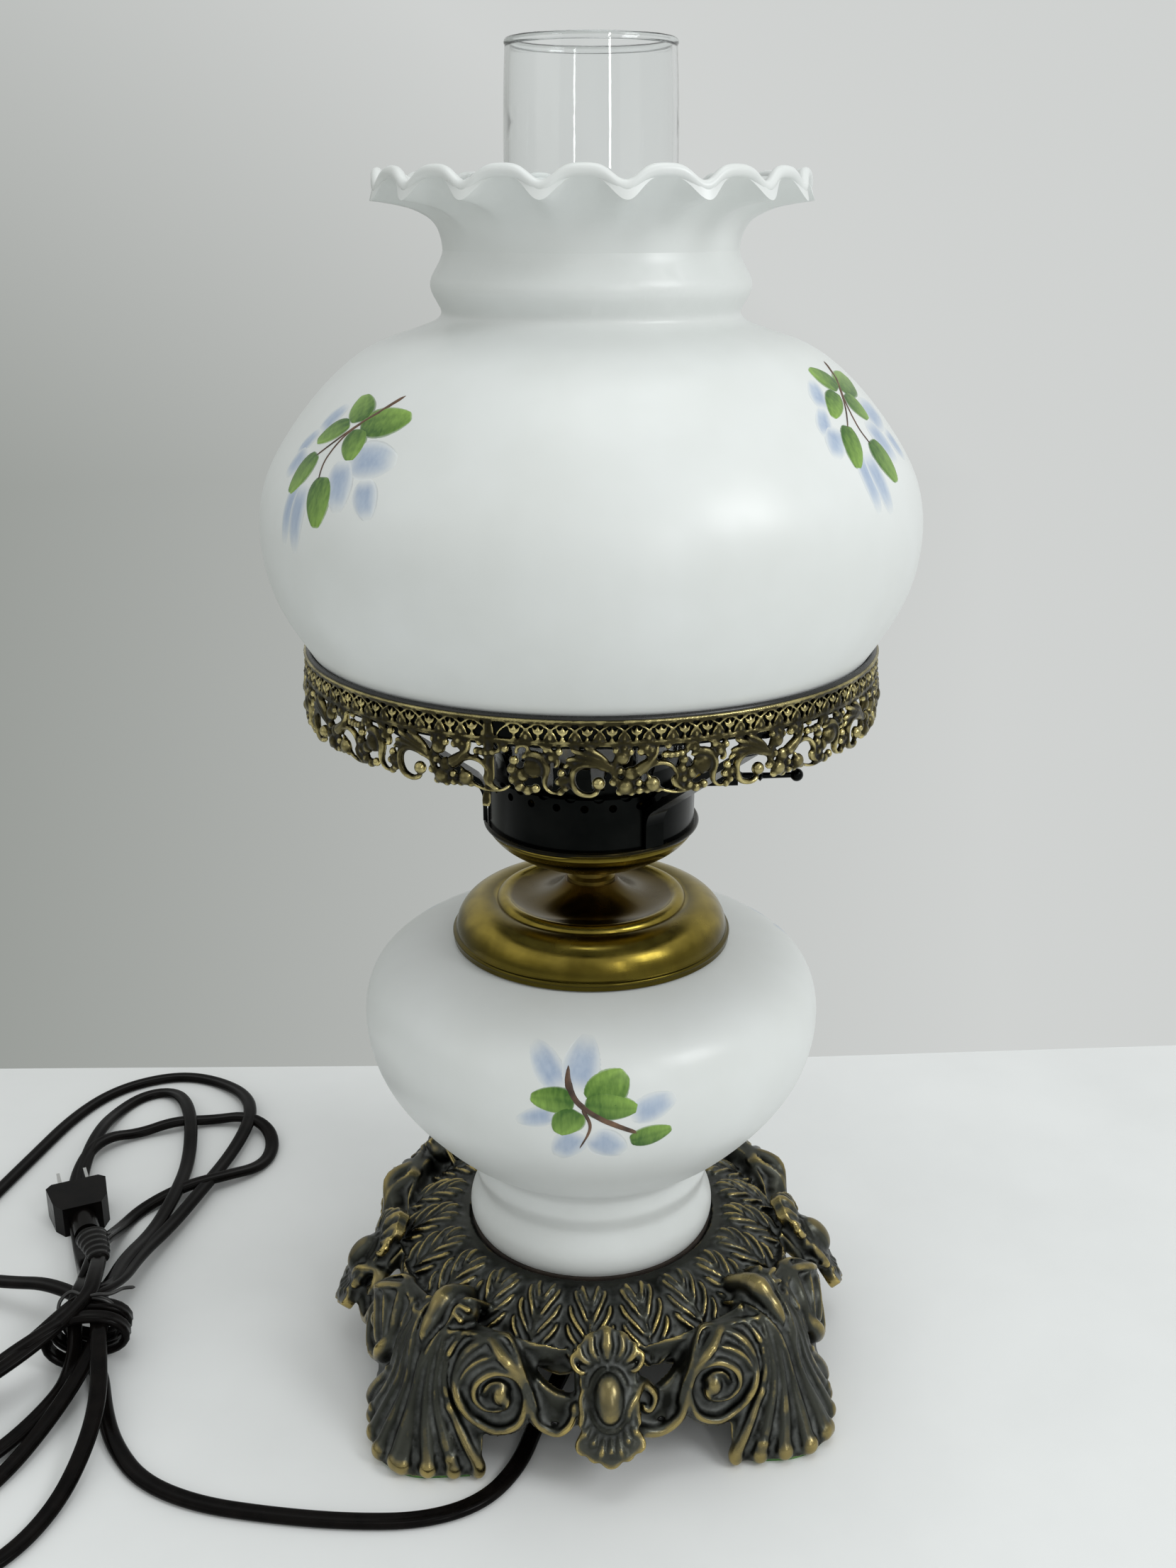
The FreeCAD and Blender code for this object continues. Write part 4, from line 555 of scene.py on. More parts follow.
def cord_route():
    """Control points of the whole cord, and the numbers of those that wrap the bundle."""
    turns = []
    for step in range(WRAP_TURNS * WRAP_POINTS + 3):
        turn = step / WRAP_POINTS
        angle = -2 * math.pi * (WRAP_START + turn)
        swell = 1.0 - WRAP_SHRINK * turn / WRAP_TURNS
        turns.append((
            TIE_X + WRAP_ACROSS * swell * math.cos(angle),
            TIE_Y + WRAP_Y + WRAP_PITCH * turn,
            WRAP_Z + WRAP_UP * swell * math.sin(angle),
        ))
    laid = []
    rows = (UPPER_A, LOWER_A, UPPER_B, LOWER_B, UPPER_C, LOWER_C, PLUG_END)
    for number, row in enumerate(rows):
        laid.extend((x, y, FLOOR_Z) for x, y in row)
        if number < len(TIE_COLUMNS):
            laid.append((TIE_COLUMNS[number], TIE_Y, BUNDLE_FLOOR_Z))
    laid = stacked(laid)
    first_wrap = len(RUN_POINTS)
    return RUN_POINTS + turns + laid, first_wrap, first_wrap + len(turns)


def swept(line, sides, outline):
    """Rings of an outline carried along a line, its first axis along each side vector."""
    rings = []
    for point, along, side in zip(line, units(np.gradient(line, axis=0)), sides):
        side = side - along * np.dot(side, along)
        side /= np.linalg.norm(side)
        up = np.cross(along, side)
        rings.extend(point + side * a + up * b for a, b in outline)
    return rings


# How much of its last direction the flat cord keeps at each step, and how much more where it is steep.
HOLD_LEVEL, HOLD_STEEP = 0.55, 0.4


def flat_sides(line, wrapped):
    """Side vectors that keep a flat cord on its face: level, but along the bundle in a wrap."""
    tangents = units(np.gradient(line, axis=0))
    level = units(np.cross(tangents, (0.0, 0.0, 1.0)), 1e-6)
    along_bundle = np.array((0.0, 1.0, 0.0))
    sides, last = [], np.array((1.0, 0.0, 0.0))
    for number in range(len(line)):
        target = level[number]
        if np.dot(target, last) < 0:
            target = -target
        bundle = along_bundle if np.dot(along_bundle, last) > 0 else -along_bundle
        target = target * (1.0 - wrapped[number]) + bundle * wrapped[number]
        steep = abs(tangents[number][2])
        hold = HOLD_LEVEL + HOLD_STEEP * steep * (1.0 - wrapped[number])
        last = last * hold + target * (1.0 - hold)
        last -= tangents[number] * np.dot(last, tangents[number])
        last /= np.linalg.norm(last)
        sides.append(last)
    return np.array(sides)


LOBE_POINTS, LOBE_TURN = 8, 122.0


def two_wire_section():
    """The outline of the flat cord: two round wires with a groove between them."""
    radius = CORD_THICK / 2
    centre = CORD_WIDTH / 2 - radius
    outline = []
    for side in (1, -1):
        for step in range(LOBE_POINTS):
            angle = math.radians(-LOBE_TURN + 2 * LOBE_TURN * step / (LOBE_POINTS - 1))
            across = side * (centre + radius * math.cos(angle))
            outline.append((across, side * radius * math.sin(angle)))
    return outline


# The sleeve at the plug: its length, its ribs and the steps along it, its width and height at the
# cord's end, what they gain towards the plug, and how far a rib rises and dips.
SLEEVE_LENGTH, SLEEVE_RIBS, SLEEVE_STEPS = 30.0, 6, 60
SLEEVE_SMALL, SLEEVE_GAIN, SLEEVE_RISE, SLEEVE_DIP = (8.4, 5.0), (5.8, 5.0), 0.8, -0.2
UPRIGHT = (0.0, 0.0, 1.0)


def plug_sleeve(line, material):
    """The ribbed sleeve that tapers from the plug onto the cord."""
    line = np.asarray(line, float)
    steps = np.linalg.norm(np.diff(line, axis=0), axis=1)
    left = np.concatenate([np.cumsum(steps[::-1])[::-1], [0.0]])
    shares = np.linspace(SLEEVE_LENGTH, 0.0, SLEEVE_STEPS)
    points = [[np.interp(d, left[::-1], line[::-1, axis]) for axis in range(3)] for d in shares]
    widths, heights = [], []
    for step in range(SLEEVE_RIBS * 2):
        share = step / (SLEEVE_RIBS * 2 - 1)
        rib = SLEEVE_RISE if step % 2 else SLEEVE_DIP
        widths.append(SLEEVE_SMALL[0] + SLEEVE_GAIN[0] * share + rib)
        heights.append((SLEEVE_SMALL[1] + SLEEVE_GAIN[1] * share + rib) / 2)
    relief = Relief()
    relief.stroke(points, [UPRIGHT] * SLEEVE_STEPS, widths, heights, 24)
    slotted("plug_sleeve", relief.vertices, relief.faces, material, "lamp")


TIE_END = [(0.0, 0.0, -0.6), (4.0, -1.0, 0.9), (9.0, -0.5, 0.6), (14.0, 2.5, 0.9), (19.0, 2.0, 1.6)]
TIE_LOOP = [
    (-3.0, 1.0, -0.8), (-8.0, 2.0, 0.5), (-12.0, -1.0, -2.0), (-11.0, -6.5, -4.5), (-5.0, -6.0, -2.0),
]
TIE_WIDE, TIE_HIGH = 1.6, 0.8


def tie_wire(material):
    """The two ends of the wire that closes the hank's tie: one free, one bent back into a loop."""
    points = node_parts("twist_tie")[0]
    middle = (points.min(0) + points.max(0)) / 2
    start = np.array((middle[0], middle[1], points[:, 2].max()))
    relief = Relief()
    for chart in (TIE_END, TIE_LOOP):
        path = through([tuple(start + np.array(q)) for q in chart])
        relief.stroke(path, [UPRIGHT] * len(path), [TIE_WIDE], [TIE_HIGH])
    slotted("tie_wire", relief.vertices, relief.faces, material, "lamp")


WRAP_BLEND = 7


def make_cord(material):
    """The lamp's flat lead as it is laid and hanked, with its line and its length in metres."""
    route, first_wrap, last_wrap = cord_route()
    line = evenly(smooth_line(route), CORD_STEP)
    points = np.array(route)
    owner = np.array([np.argmin(np.linalg.norm(points - q, axis=1)) for q in line])
    wrapped = ((owner >= first_wrap + 1) & (owner < last_wrap)).astype(float)
    wrapped = np.convolve(wrapped, np.ones(WRAP_BLEND) / WRAP_BLEND, mode="same")
    outline = two_wire_section()
    rings = swept(line, flat_sides(line, wrapped), outline)
    faces = tube_faces(len(line), len(outline))
    cord = new_object("lead", mesh_from("lead", rings, faces), material, "lamp")
    length = float(np.linalg.norm(np.diff(line, axis=0), axis=1).sum()) * MM
    return cord, line, length


# ---------------------------------------------------------------- cast and stamped relief
class Relief:
    """Gathers closed forms in millimetres: ridges, beads and whatever else is added."""

    def __init__(self):
        self.vertices, self.faces = [], []

    def add(self, vertices, faces):
        base = len(self.vertices)
        self.vertices.extend(tuple(v) for v in vertices)
        self.faces.extend(tuple(base + k for k in face) for face in faces)

    def stroke(self, points, normals, widths, heights, sides=10):
        """A tapering ridge along points on a surface, with blunt closed ends."""
        points, normals = np.asarray(points, float), np.asarray(normals, float)
        count = len(points)
        shares = np.linspace(0.0, 1.0, count)
        width = np.interp(shares, np.linspace(0, 1, len(widths)), widths)
        height = np.interp(shares, np.linspace(0, 1, len(heights)), heights)
        ease = np.sqrt(np.clip(np.minimum(shares, 1 - shares) * count * 0.55, 0.05, 1.0))
        tangents = units(np.gradient(points, axis=0))
        laterals = units(np.cross(tangents, normals))
        ups = np.cross(laterals, tangents)
        angles = 2 * np.pi * np.arange(sides) / sides
        rings = (
            points[:, None]
            + laterals[:, None] * (np.cos(angles)[None, :, None] * (width * ease / 2)[:, None, None])
            + ups[:, None] * (np.sin(angles)[None, :, None] * (height * ease)[:, None, None])
        )
        self.add(rings.reshape(-1, 3), tube_faces(count, sides))

    def stroke_along(self, pairs, widths, heights, sides=10):
        """The same ridge along pairs of a point and its normal."""
        self.stroke(*zip(*pairs), widths, heights, sides)

    def bead(self, centre, radii, axes=((1, 0, 0), (0, 1, 0), (0, 0, 1)), rings=9, sides=14):
        """A ball or oval with half sizes along three axes."""
        axes = np.asarray(axes, float)
        vertices = []
        for ring in range(rings):
            polar = math.pi * (ring + 0.5) / rings
            for side in range(sides):
                angle = 2 * math.pi * side / sides
                round_it = math.sin(polar)
                local = (round_it * math.cos(angle), round_it * math.sin(angle), math.cos(polar))
                offset = sum(axes[k] * radii[k] * local[k] for k in range(3))
                vertices.append(np.asarray(centre) + offset)
        self.add(vertices, tube_faces(rings, sides))


def through(points, steps=8):
    """A smooth line through points of any dimension (Catmull-Rom)."""
    pts = np.asarray(points, float)
    pts = np.vstack([2 * pts[0] - pts[1], pts, 2 * pts[-1] - pts[-2]])
    out = []
    for a, b, c, d in zip(pts, pts[1:], pts[2:], pts[3:]):
        for t in np.arange(steps) / steps:
            out.append(0.5 * (2 * b + (c - a) * t + (2 * a - 5 * b + 4 * c - d) * t * t
                              + (3 * b - 3 * c + d - a) * t**3))
    out.append(pts[-2])
    return np.array(out)


def eased(values, rounds):
    """The same values with sudden steps rounded off."""
    values = np.array(values, float)
    for _ in range(rounds):
        values[1:-1] = (values[:-2] + 2 * values[1:-1] + values[2:]) / 4
    return values


# How strongly a normal found on a surface is turned back along the ray that found it.
FACING = 1.2


class Drape:
    """Finds points of a CAD node's surface along rays, for relief that lies on it."""

    def __init__(self, node):
        vertices, faces = node_parts(node)
        self.tree = BVHTree.FromPolygons([Vector(v) for v in vertices], faces)

    def line(self, rays, low, high, rounds=3):
        """Surface points and normals where the rays land at a depth between two limits. A ray
        that lands elsewhere, or nowhere, takes its depth and normal from its neighbours."""
        ways = np.array([Vector(ray[1]).normalized() for ray in rays])
        origins = np.array([ray[0] for ray in rays], float)
        depths, normals, found = np.zeros(len(rays)), -ways, np.zeros(len(rays), bool)
        for number, (origin, way) in enumerate(zip(origins, ways)):
            place, normal, _, depth = self.tree.ray_cast(Vector(origin), Vector(way))
            if place is not None and low <= depth <= high:
                depths[number], normals[number], found[number] = depth, normal, True
        numbers = np.arange(len(rays))
        if found.any():
            depths = np.interp(numbers, numbers[found], depths[found])
            nearest = [numbers[found][np.argmin(abs(numbers[found] - k))] for k in numbers]
            normals = normals[nearest]
        else:
            depths[:] = (low + high) / 2
        normals = units(normals - ways * FACING)
        return origins + ways * eased(depths, rounds)[:, None], eased(normals, rounds)


FACE_EDGE, CORNER_REACH, FOOT_TOP = 60.0, 33.0, 53.6
# The reach of the rays at a foot's face, corner and top, and the depths at which they may land.
FACE_RAY, CORNER_RAY, TOP_RAY = 150.0, 88.0, 60.0
FACE_DEPTHS, CORNER_DEPTHS, TOP_DEPTHS = (50.0, 78.0), (50.0, 80.0), (48.0, 76.0)


def face_ray(u, z):
    """A ray at a foot: straight at the front face, then turning round the corner."""
    z = min(z, FOOT_TOP)
    if u <= FACE_EDGE:
        return (u, -FACE_RAY, z), (0.0, 1.0, 0.0)
    angle = -math.pi / 2 + (u - FACE_EDGE) / CORNER_REACH
    x, y = math.cos(angle), math.sin(angle)
    return (FACE_EDGE + CORNER_RAY * x, -FACE_EDGE + CORNER_RAY * y, z), (-x, -y, 0.0)


def mirrored(points):
    """Across the plane through the lamp's axis and a foot's corner."""
    points = np.asarray(points, float)
    return np.stack([-points[:, 1], -points[:, 0], points[:, 2]], axis=1)


# Charts of one face of a foot as (along, up), in the order in which each line is drawn.
ARM = [
    (27, 26.5), (30.5, 36), (35, 47), (43, 52.5), (53, 48.5), (57, 38), (52, 27), (43, 22.5), (34, 26),
    (30.8, 35), (34.5, 44), (42, 47), (49, 43), (50.5, 36), (46, 30.5), (39.5, 31), (37.5, 37),
]
CURL = [(12, 32.5), (15.5, 30.5), (17.5, 35), (13, 39), (7.6, 36.5), (6.8, 29), (12, 23.5), (20, 22)]
BALL_END = [(12.5, 31), (15, 26), (20, 22.5)]
OVERLAP = [(26, 30), (29, 39), (34, 50.5), (43, 56.5), (54, 52.5)]
# The flutes of the leg, each with its width at the top and at the foot.
FLUTES = [
    ([(40, 56.5), (52, 54.5), (60.5, 46), (62, 34), (56.5, 21), (50.5, 9), (49.5, 4.5)], 2.2, 6.0),
    ([(52, 58), (62, 52.5), (67, 42), (67.5, 30), (63, 17), (59.5, 8), (59, 4.5)], 2.2, 7.0),
    ([(66, 55), (72, 46), (74, 34), (72.5, 22), (70, 10), (69.5, 4.5)], 2.2, 7.6),
    ([(76, 50), (80, 41), (81.5, 30), (80.8, 20), (80, 9), (80, 4.5)], 2.4, 8.0),
]
CORNER_FLUTE = [(89.5, 46), (89.5, 36), (89.5, 24), (89.5, 12), (89.5, 4.5)]
FLUTE_GAP = 4.6


def face_relief(relief, drape, mirror, start):
    """The scroll and the flutes on one face of a foot: its front, or its side when mirrored."""
    def place(points, normals):
        return (mirrored(points), mirrored(normals)) if mirror else (points, normals)

    def draw(chart, widths, heights, lift=0.0):
        points, normals = drape.line([face_ray(*q) for q in through(chart, 6)], *FACE_DEPTHS)
        relief.stroke(*place(points + normals * lift, normals), widths, heights)
        return place(points, normals)[0]

    def ball(u, z, radii):
        points, normals = drape.line([face_ray(u, z)] * 3, *FACE_DEPTHS)
        relief.bead(place(points, normals)[0][0], radii)

    draw(start + ARM, [3.0, 4.4, 5.6, 5.0, 4.6, 4.2, 3.8, 3.4, 3.6], [3.2, 3.8, 4.6, 4.6, 4.4, 4.2, 4.0])
    draw(OVERLAP, [1.4, 2.0, 1.6], [2.8, 3.4, 2.2], 0.6)
    ball(40.6, 36.6, (3.3, 3.3, 4.4))
    if mirror:
        ball(11.5, 31.5, (3.4, 3.4, 3.4))
    for chart, thin, broad in FLUTES:
        points = draw(chart, [thin, thin * 1.4, broad * 0.8, broad], [1.4, 2.2, 3.2, 3.6])
        relief.bead(points[-2], (broad * 0.52, broad * 0.52, 4.4))
        draw([(u + FLUTE_GAP, z) for u, z in chart[1:-1]], [0.9, 1.2, 1.2], [0.8, 1.5, 1.6])


def teardrop_relief(relief, drape):
    """The teardrop on a foot's shoulder, between two lines and under a fan."""
    middle = np.array((59.0, -59.0, 50.0))
    out = np.array((1.0, -1.0, 1.35)) / math.sqrt(3.8225)
    across = np.array((1.0, 1.0, 0.0)) / math.sqrt(2)
    uphill = -np.cross(across, out)

    def draw(chart, widths, heights, sides=10):
        origins = [middle + across * a + uphill * b + out * TOP_RAY for a, b in through(chart, 6)]
        points, normals = drape.line([(origin, -out) for origin in origins], *TOP_DEPTHS)
        relief.stroke(points, normals, widths, heights, sides)

    draw([(0, 11), (0, 4), (0, -5), (0, -13)], [7.0, 10.0, 7.8, 3.0], [4.4, 6.6, 5.4, 2.0], 16)
    for side in (-1, 1):
        edge = [(side * 7.4, 7), (side * 7.0, -2), (side * 4.8, -12), (side * 3.6, -22)]
        draw(edge, [2.0, 2.6, 2.2], [1.6, 2.4, 2.2])
    for number in range(11):
        angle = math.radians(-24 + 22.8 * number)
        x, y = math.cos(angle), math.sin(angle)
        draw([(x * r, 6 + y * r * 0.95) for r in (6.8, 9.6, 12.6)], [1.4, 2.2, 3.4], [1.0, 1.8, 3.0])


def foot_relief(relief, drape):
    """One foot's two faces, the flute on its corner and the teardrop on its shoulder."""
    face_relief(relief, drape, False, CURL)
    face_relief(relief, drape, True, BALL_END)
    rays = [face_ray(*q) for q in through(CORNER_FLUTE, 6)]
    points, normals = drape.line(rays, *CORNER_DEPTHS)
    relief.stroke(points, normals, [2.4, 4.0, 7.0, 8.4], [1.6, 2.4, 3.6, 4.0])
    relief.bead(points[-2], (4.4, 4.4, 4.6))
    teardrop_relief(relief, drape)


# The leaves beside the plume of the oval boss, on its right.
PLUMES = [
    ([(2.4, 12), (5.8, 17.5), (5.2, 24)], [2.2, 4.0, 2.0], [1.8, 2.8, 1.6]),
    ([(5.0, 11.6), (9.8, 15), (10.8, 20)], [2.0, 3.6, 2.2], [1.6, 2.4, 1.8]),
    ([(7.8, 9), (11.6, 10.5), (13.4, 14.5), (11.4, 16.6)], [2.0, 2.6, 2.4], [1.8, 2.0, 2.0]),
    ([(8.6, 5), (10.4, 0), (10.0, -6), (11.6, -10)], [2.2, 3.0, 2.2], [1.6, 2.2, 1.8]),
]


def cartouche_relief(relief):
    """The oval boss at the middle of a side, with its rim, plume and shell."""
    lean = math.radians(36.0)
    origin = np.array((0.0, -94.0, 37.0))
    up = np.array((0.0, math.sin(lean), math.cos(lean)))
    out = np.array((0.0, -math.cos(lean), math.sin(lean)))
    right = np.array((1.0, 0.0, 0.0))

    def draw(chart, widths, heights, lift=2.2):
        path = through(chart, 6)
        points = np.array([origin + right * a + up * b + out * lift for a, b in path])
        relief.stroke(points, np.tile(out, (len(points), 1)), widths, heights)

    loop = [(7.4 * math.sin(t), 11.4 * math.cos(t) - 0.3) for t in np.linspace(0, 2 * math.pi, 17)]
    draw(loop, [2.4], [2.2])
    relief.bead(origin + out * 3.0, (6.2, 10.0, 6.6), (right, up, out), 11, 18)
    for number in range(9):
        angle = math.radians(-158 + 17 * number)
        ray = (math.cos(angle), math.sin(angle))
        reach = 1.0 + 0.10 * (number % 2)
        shell = [(ray[0] * 8.4, ray[1] * 12.4), (ray[0] * 10.6, ray[1] * 16.5),
                 (ray[0] * 12.4 * reach, ray[1] * 20.2 * reach)]
        draw(shell, [1.8, 2.6, 4.2], [1.4, 1.8, 2.6], 1.6)
    draw([(0, 12), (0, 19), (0.4, 26)], [3.0, 6.2, 3.4], [2.0, 3.8, 2.2])
    for side in (-1, 1):
        for chart, widths, heights in PLUMES:
            draw([(side * a, b) for a, b in chart], widths, heights)


BAND_PROFILE = [
    (54.4, 58.7), (60.0, 57.9), (66.0, 55.9), (72.0, 52.6), (77.0, 48.9), (80.5, 44.0), (82.0, 39.0),
]


def band_point(angle, along):
    """A point of the leaf band and its normal, from its rim (0) to its lower edge (1)."""
    radii, heights = zip(*BAND_PROFILE)
    shares = np.linspace(0, 1, len(BAND_PROFILE))
    radius, height = np.interp(along, shares, radii), np.interp(along, shares, heights)
    ahead, behind = min(along + 0.05, 1), max(along - 0.05, 0)
    dr = np.interp(ahead, shares, radii) - np.interp(behind, shares, radii)
    dz = np.interp(ahead, shares, heights) - np.interp(behind, shares, heights)
    slope = math.hypot(dr, dz)
    normal = (-dz / slope * math.cos(angle), -dz / slope * math.sin(angle), dr / slope)
    return (radius * math.cos(angle), radius * math.sin(angle), height), normal


LEAF_PAIRS = 21
# Each rib's foot on the vein, how far it reaches to the side and how far it rises.
LEAF_RIBS = [(1.00, 7.8, 0.30), (0.84, 8.4, 0.36), (0.67, 8.2, 0.38), (0.50, 6.6, 0.40), (0.33, 3.9, 0.30)]
# The band's steps round, points down its slope, thickness and mean radius, and its hem's waves.
BAND_STEPS, BAND_SKIN, BAND_THICK, BAND_MIDDLE = 168, 12, 1.8, 67.0
HEM_WAVE, HEM_OUT, HEM_DOWN = 0.9, 0.5, 1.5


def leaf_band(relief):
    """The sloping ring of pressed leaves round the font."""
    skin = [band_point(0.0, share)[0] for share in np.linspace(0, 1, BAND_SKIN)]
    profile = [(x, z) for x, _, z in skin] + [(x - BAND_THICK, z - BAND_THICK) for x, _, z in reversed(skin)]
    rings = []
    for step in range(BAND_STEPS):
        angle = 2 * math.pi * step / BAND_STEPS
        wave = HEM_WAVE * math.cos(LEAF_PAIRS * angle)
        for number, (r, z) in enumerate(profile):
            hem = wave if number in (BAND_SKIN - 1, BAND_SKIN) else 0.0
            reach = r + hem * HEM_OUT
            rings.append((reach * math.cos(angle), reach * math.sin(angle), z - hem * HEM_DOWN))
    relief.add(rings, hoop_faces(BAND_STEPS, len(profile)))

    def draw(middle, chart, widths, heights):
        pairs = [band_point(middle + lateral / BAND_MIDDLE, along) for lateral, along in through(chart, 5)]
        relief.stroke_along(pairs, widths, heights, 8)

    for number in range(LEAF_PAIRS):
        middle = 2 * math.pi * (number + 0.5) / LEAF_PAIRS
        draw(middle, [(0, 0.22), (0, 0.6), (0, 1.0)], [0.8, 1.2, 1.6], [0.8, 1.2, 1.0])
        for side in (-1, 1):
            for foot, reach, rise in LEAF_RIBS:
                tip = max(foot - rise, 0.01)
                rib = [(side * 0.7, foot), (side * reach * 0.42, foot - 0.30 * rise),
                       (side * reach * 0.84, foot - 0.66 * rise), (side * reach, tip)]
                draw(middle, rib, [1.0, 2.4, 2.6, 1.9], [1.0, 2.5, 2.8, 1.8])


# The shares and rounds of smoothing: of a fused skin, and of the two forms that rubbed wear and painted
# highlights are told from.
SKIN_SHARE, WEAR_HIGHLIGHT_SHARE, WEAR_HIGHLIGHT_FINE, WEAR_HIGHLIGHT_BROAD = 0.5, 0.8, 14, 60


def remeshed(name, parts, voxel):
    """One skin round overlapping closed parts, in the parts' own unit."""
    whole = Relief()
    for part in parts:
        whole.add(*part)
    mesh = bpy.data.meshes.new(name)
    mesh.from_pydata(whole.vertices, [], whole.faces)
    carrier = bpy.data.objects.new(name, mesh)
    bpy.context.scene.collection.objects.link(carrier)
    remesh = carrier.modifiers.new("skin", "REMESH")
    remesh.mode = "VOXEL"
    remesh.voxel_size = voxel
    graph = bpy.context.evaluated_depsgraph_get()
    made = bpy.data.meshes.new_from_object(carrier.evaluated_get(graph))
    bpy.data.objects.remove(carrier)
    bpy.data.meshes.remove(mesh)
    return made


def fused(name, parts, voxel, smooth_rounds):
    """One smoothed skin round parts in millimetres, with how far each vertex stands proud, which rubbed wear
    and painted highlights follow.
    """
    made = remeshed(name, parts, voxel)
    edges = read(made.edges, "vertices", 2, int)
    points = spread(read(made.vertices, "co", 3), edges, smooth_rounds, SKIN_SHARE)
    made.vertices.foreach_set("co", points.ravel())
    made.update()
    normals = read(made.vertex_normals, "vector", 3)
    made.vertices.foreach_set("co", (points * MM).ravel())
    add_layers(made, wear_and_highlight_heights(points, edges, normals))
    made.update()
    made.shade_smooth()
    return made


def spread(values, edges, rounds, share):
    """Moves each vertex's values towards the mean of its neighbours."""
    count = np.bincount(edges.ravel(), minlength=len(values))[:, None]
    values = values.copy()
    for _ in range(rounds):
        total = np.zeros_like(values)
        for axis in range(values.shape[1]):
            total[:, axis] = (
                np.bincount(edges[:, 0], values[edges[:, 1], axis], len(values))
                + np.bincount(edges[:, 1], values[edges[:, 0], axis], len(values))
            )
        values += share * (total / np.maximum(count, 1) - values)
    return values


def wear_and_highlight_heights(points, edges, normals):
    """How far each vertex stands proud of, or lies below, the form around it, on two scales."""
    fine = spread(points, edges, WEAR_HIGHLIGHT_FINE, WEAR_HIGHLIGHT_SHARE)
    broad = spread(fine, edges, WEAR_HIGHLIGHT_BROAD, WEAR_HIGHLIGHT_SHARE)
    return {
        "raised": np.einsum("ij,ij->i", points - fine, normals),
        "raised_broad": np.einsum("ij,ij->i", points - broad, normals),
    }


def turned_copies(vertices, faces, count):
    """The same part repeated round the lamp's axis."""
    vertices = np.asarray(vertices, float)
    for number in range(count):
        c, s = math.cos(2 * math.pi * number / count), math.sin(2 * math.pi * number / count)
        yield vertices @ np.array(((c, s, 0.0), (-s, c, 0.0), (0.0, 0.0, 1.0))), faces


CAST_VOXEL, BAND_VOXEL = 0.75, 0.42


def make_casting(material):
    """The cast foot: the CAD form under its scrolls, flutes, cartouches and leaf band."""
    side = Relief()
    foot_relief(side, Drape("base_casting"))
    cartouche_relief(side)
    band = Relief()
    leaf_band(band)
    parts = [node_parts("base_casting"), (band.vertices, band.faces)]
    parts.extend(turned_copies(side.vertices, side.faces, 4))
    casting = new_object("casting", fused("casting", parts, CAST_VOXEL, 2), material, "lamp")
    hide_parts("base_casting")


# ---------------------------------------------------------------- pierced gallery
GALLERY_RADIUS, GALLERY_LOW, GALLERY_TOP = 105.7, 281.7, 308.0
GALLERY_BACK = 105.0
MOULDING_Z = 299.7
SEAM_ANGLE, SEAM_TAB = math.radians(-113.0), 6.4
REPEATS, ARCHES = 12, 7
REPEAT_LENGTH = (2 * math.pi * GALLERY_RADIUS - SEAM_TAB) / REPEATS
# Where a repeat's rosette stands after the repeat's start.
ROSETTE_AT = 9.6

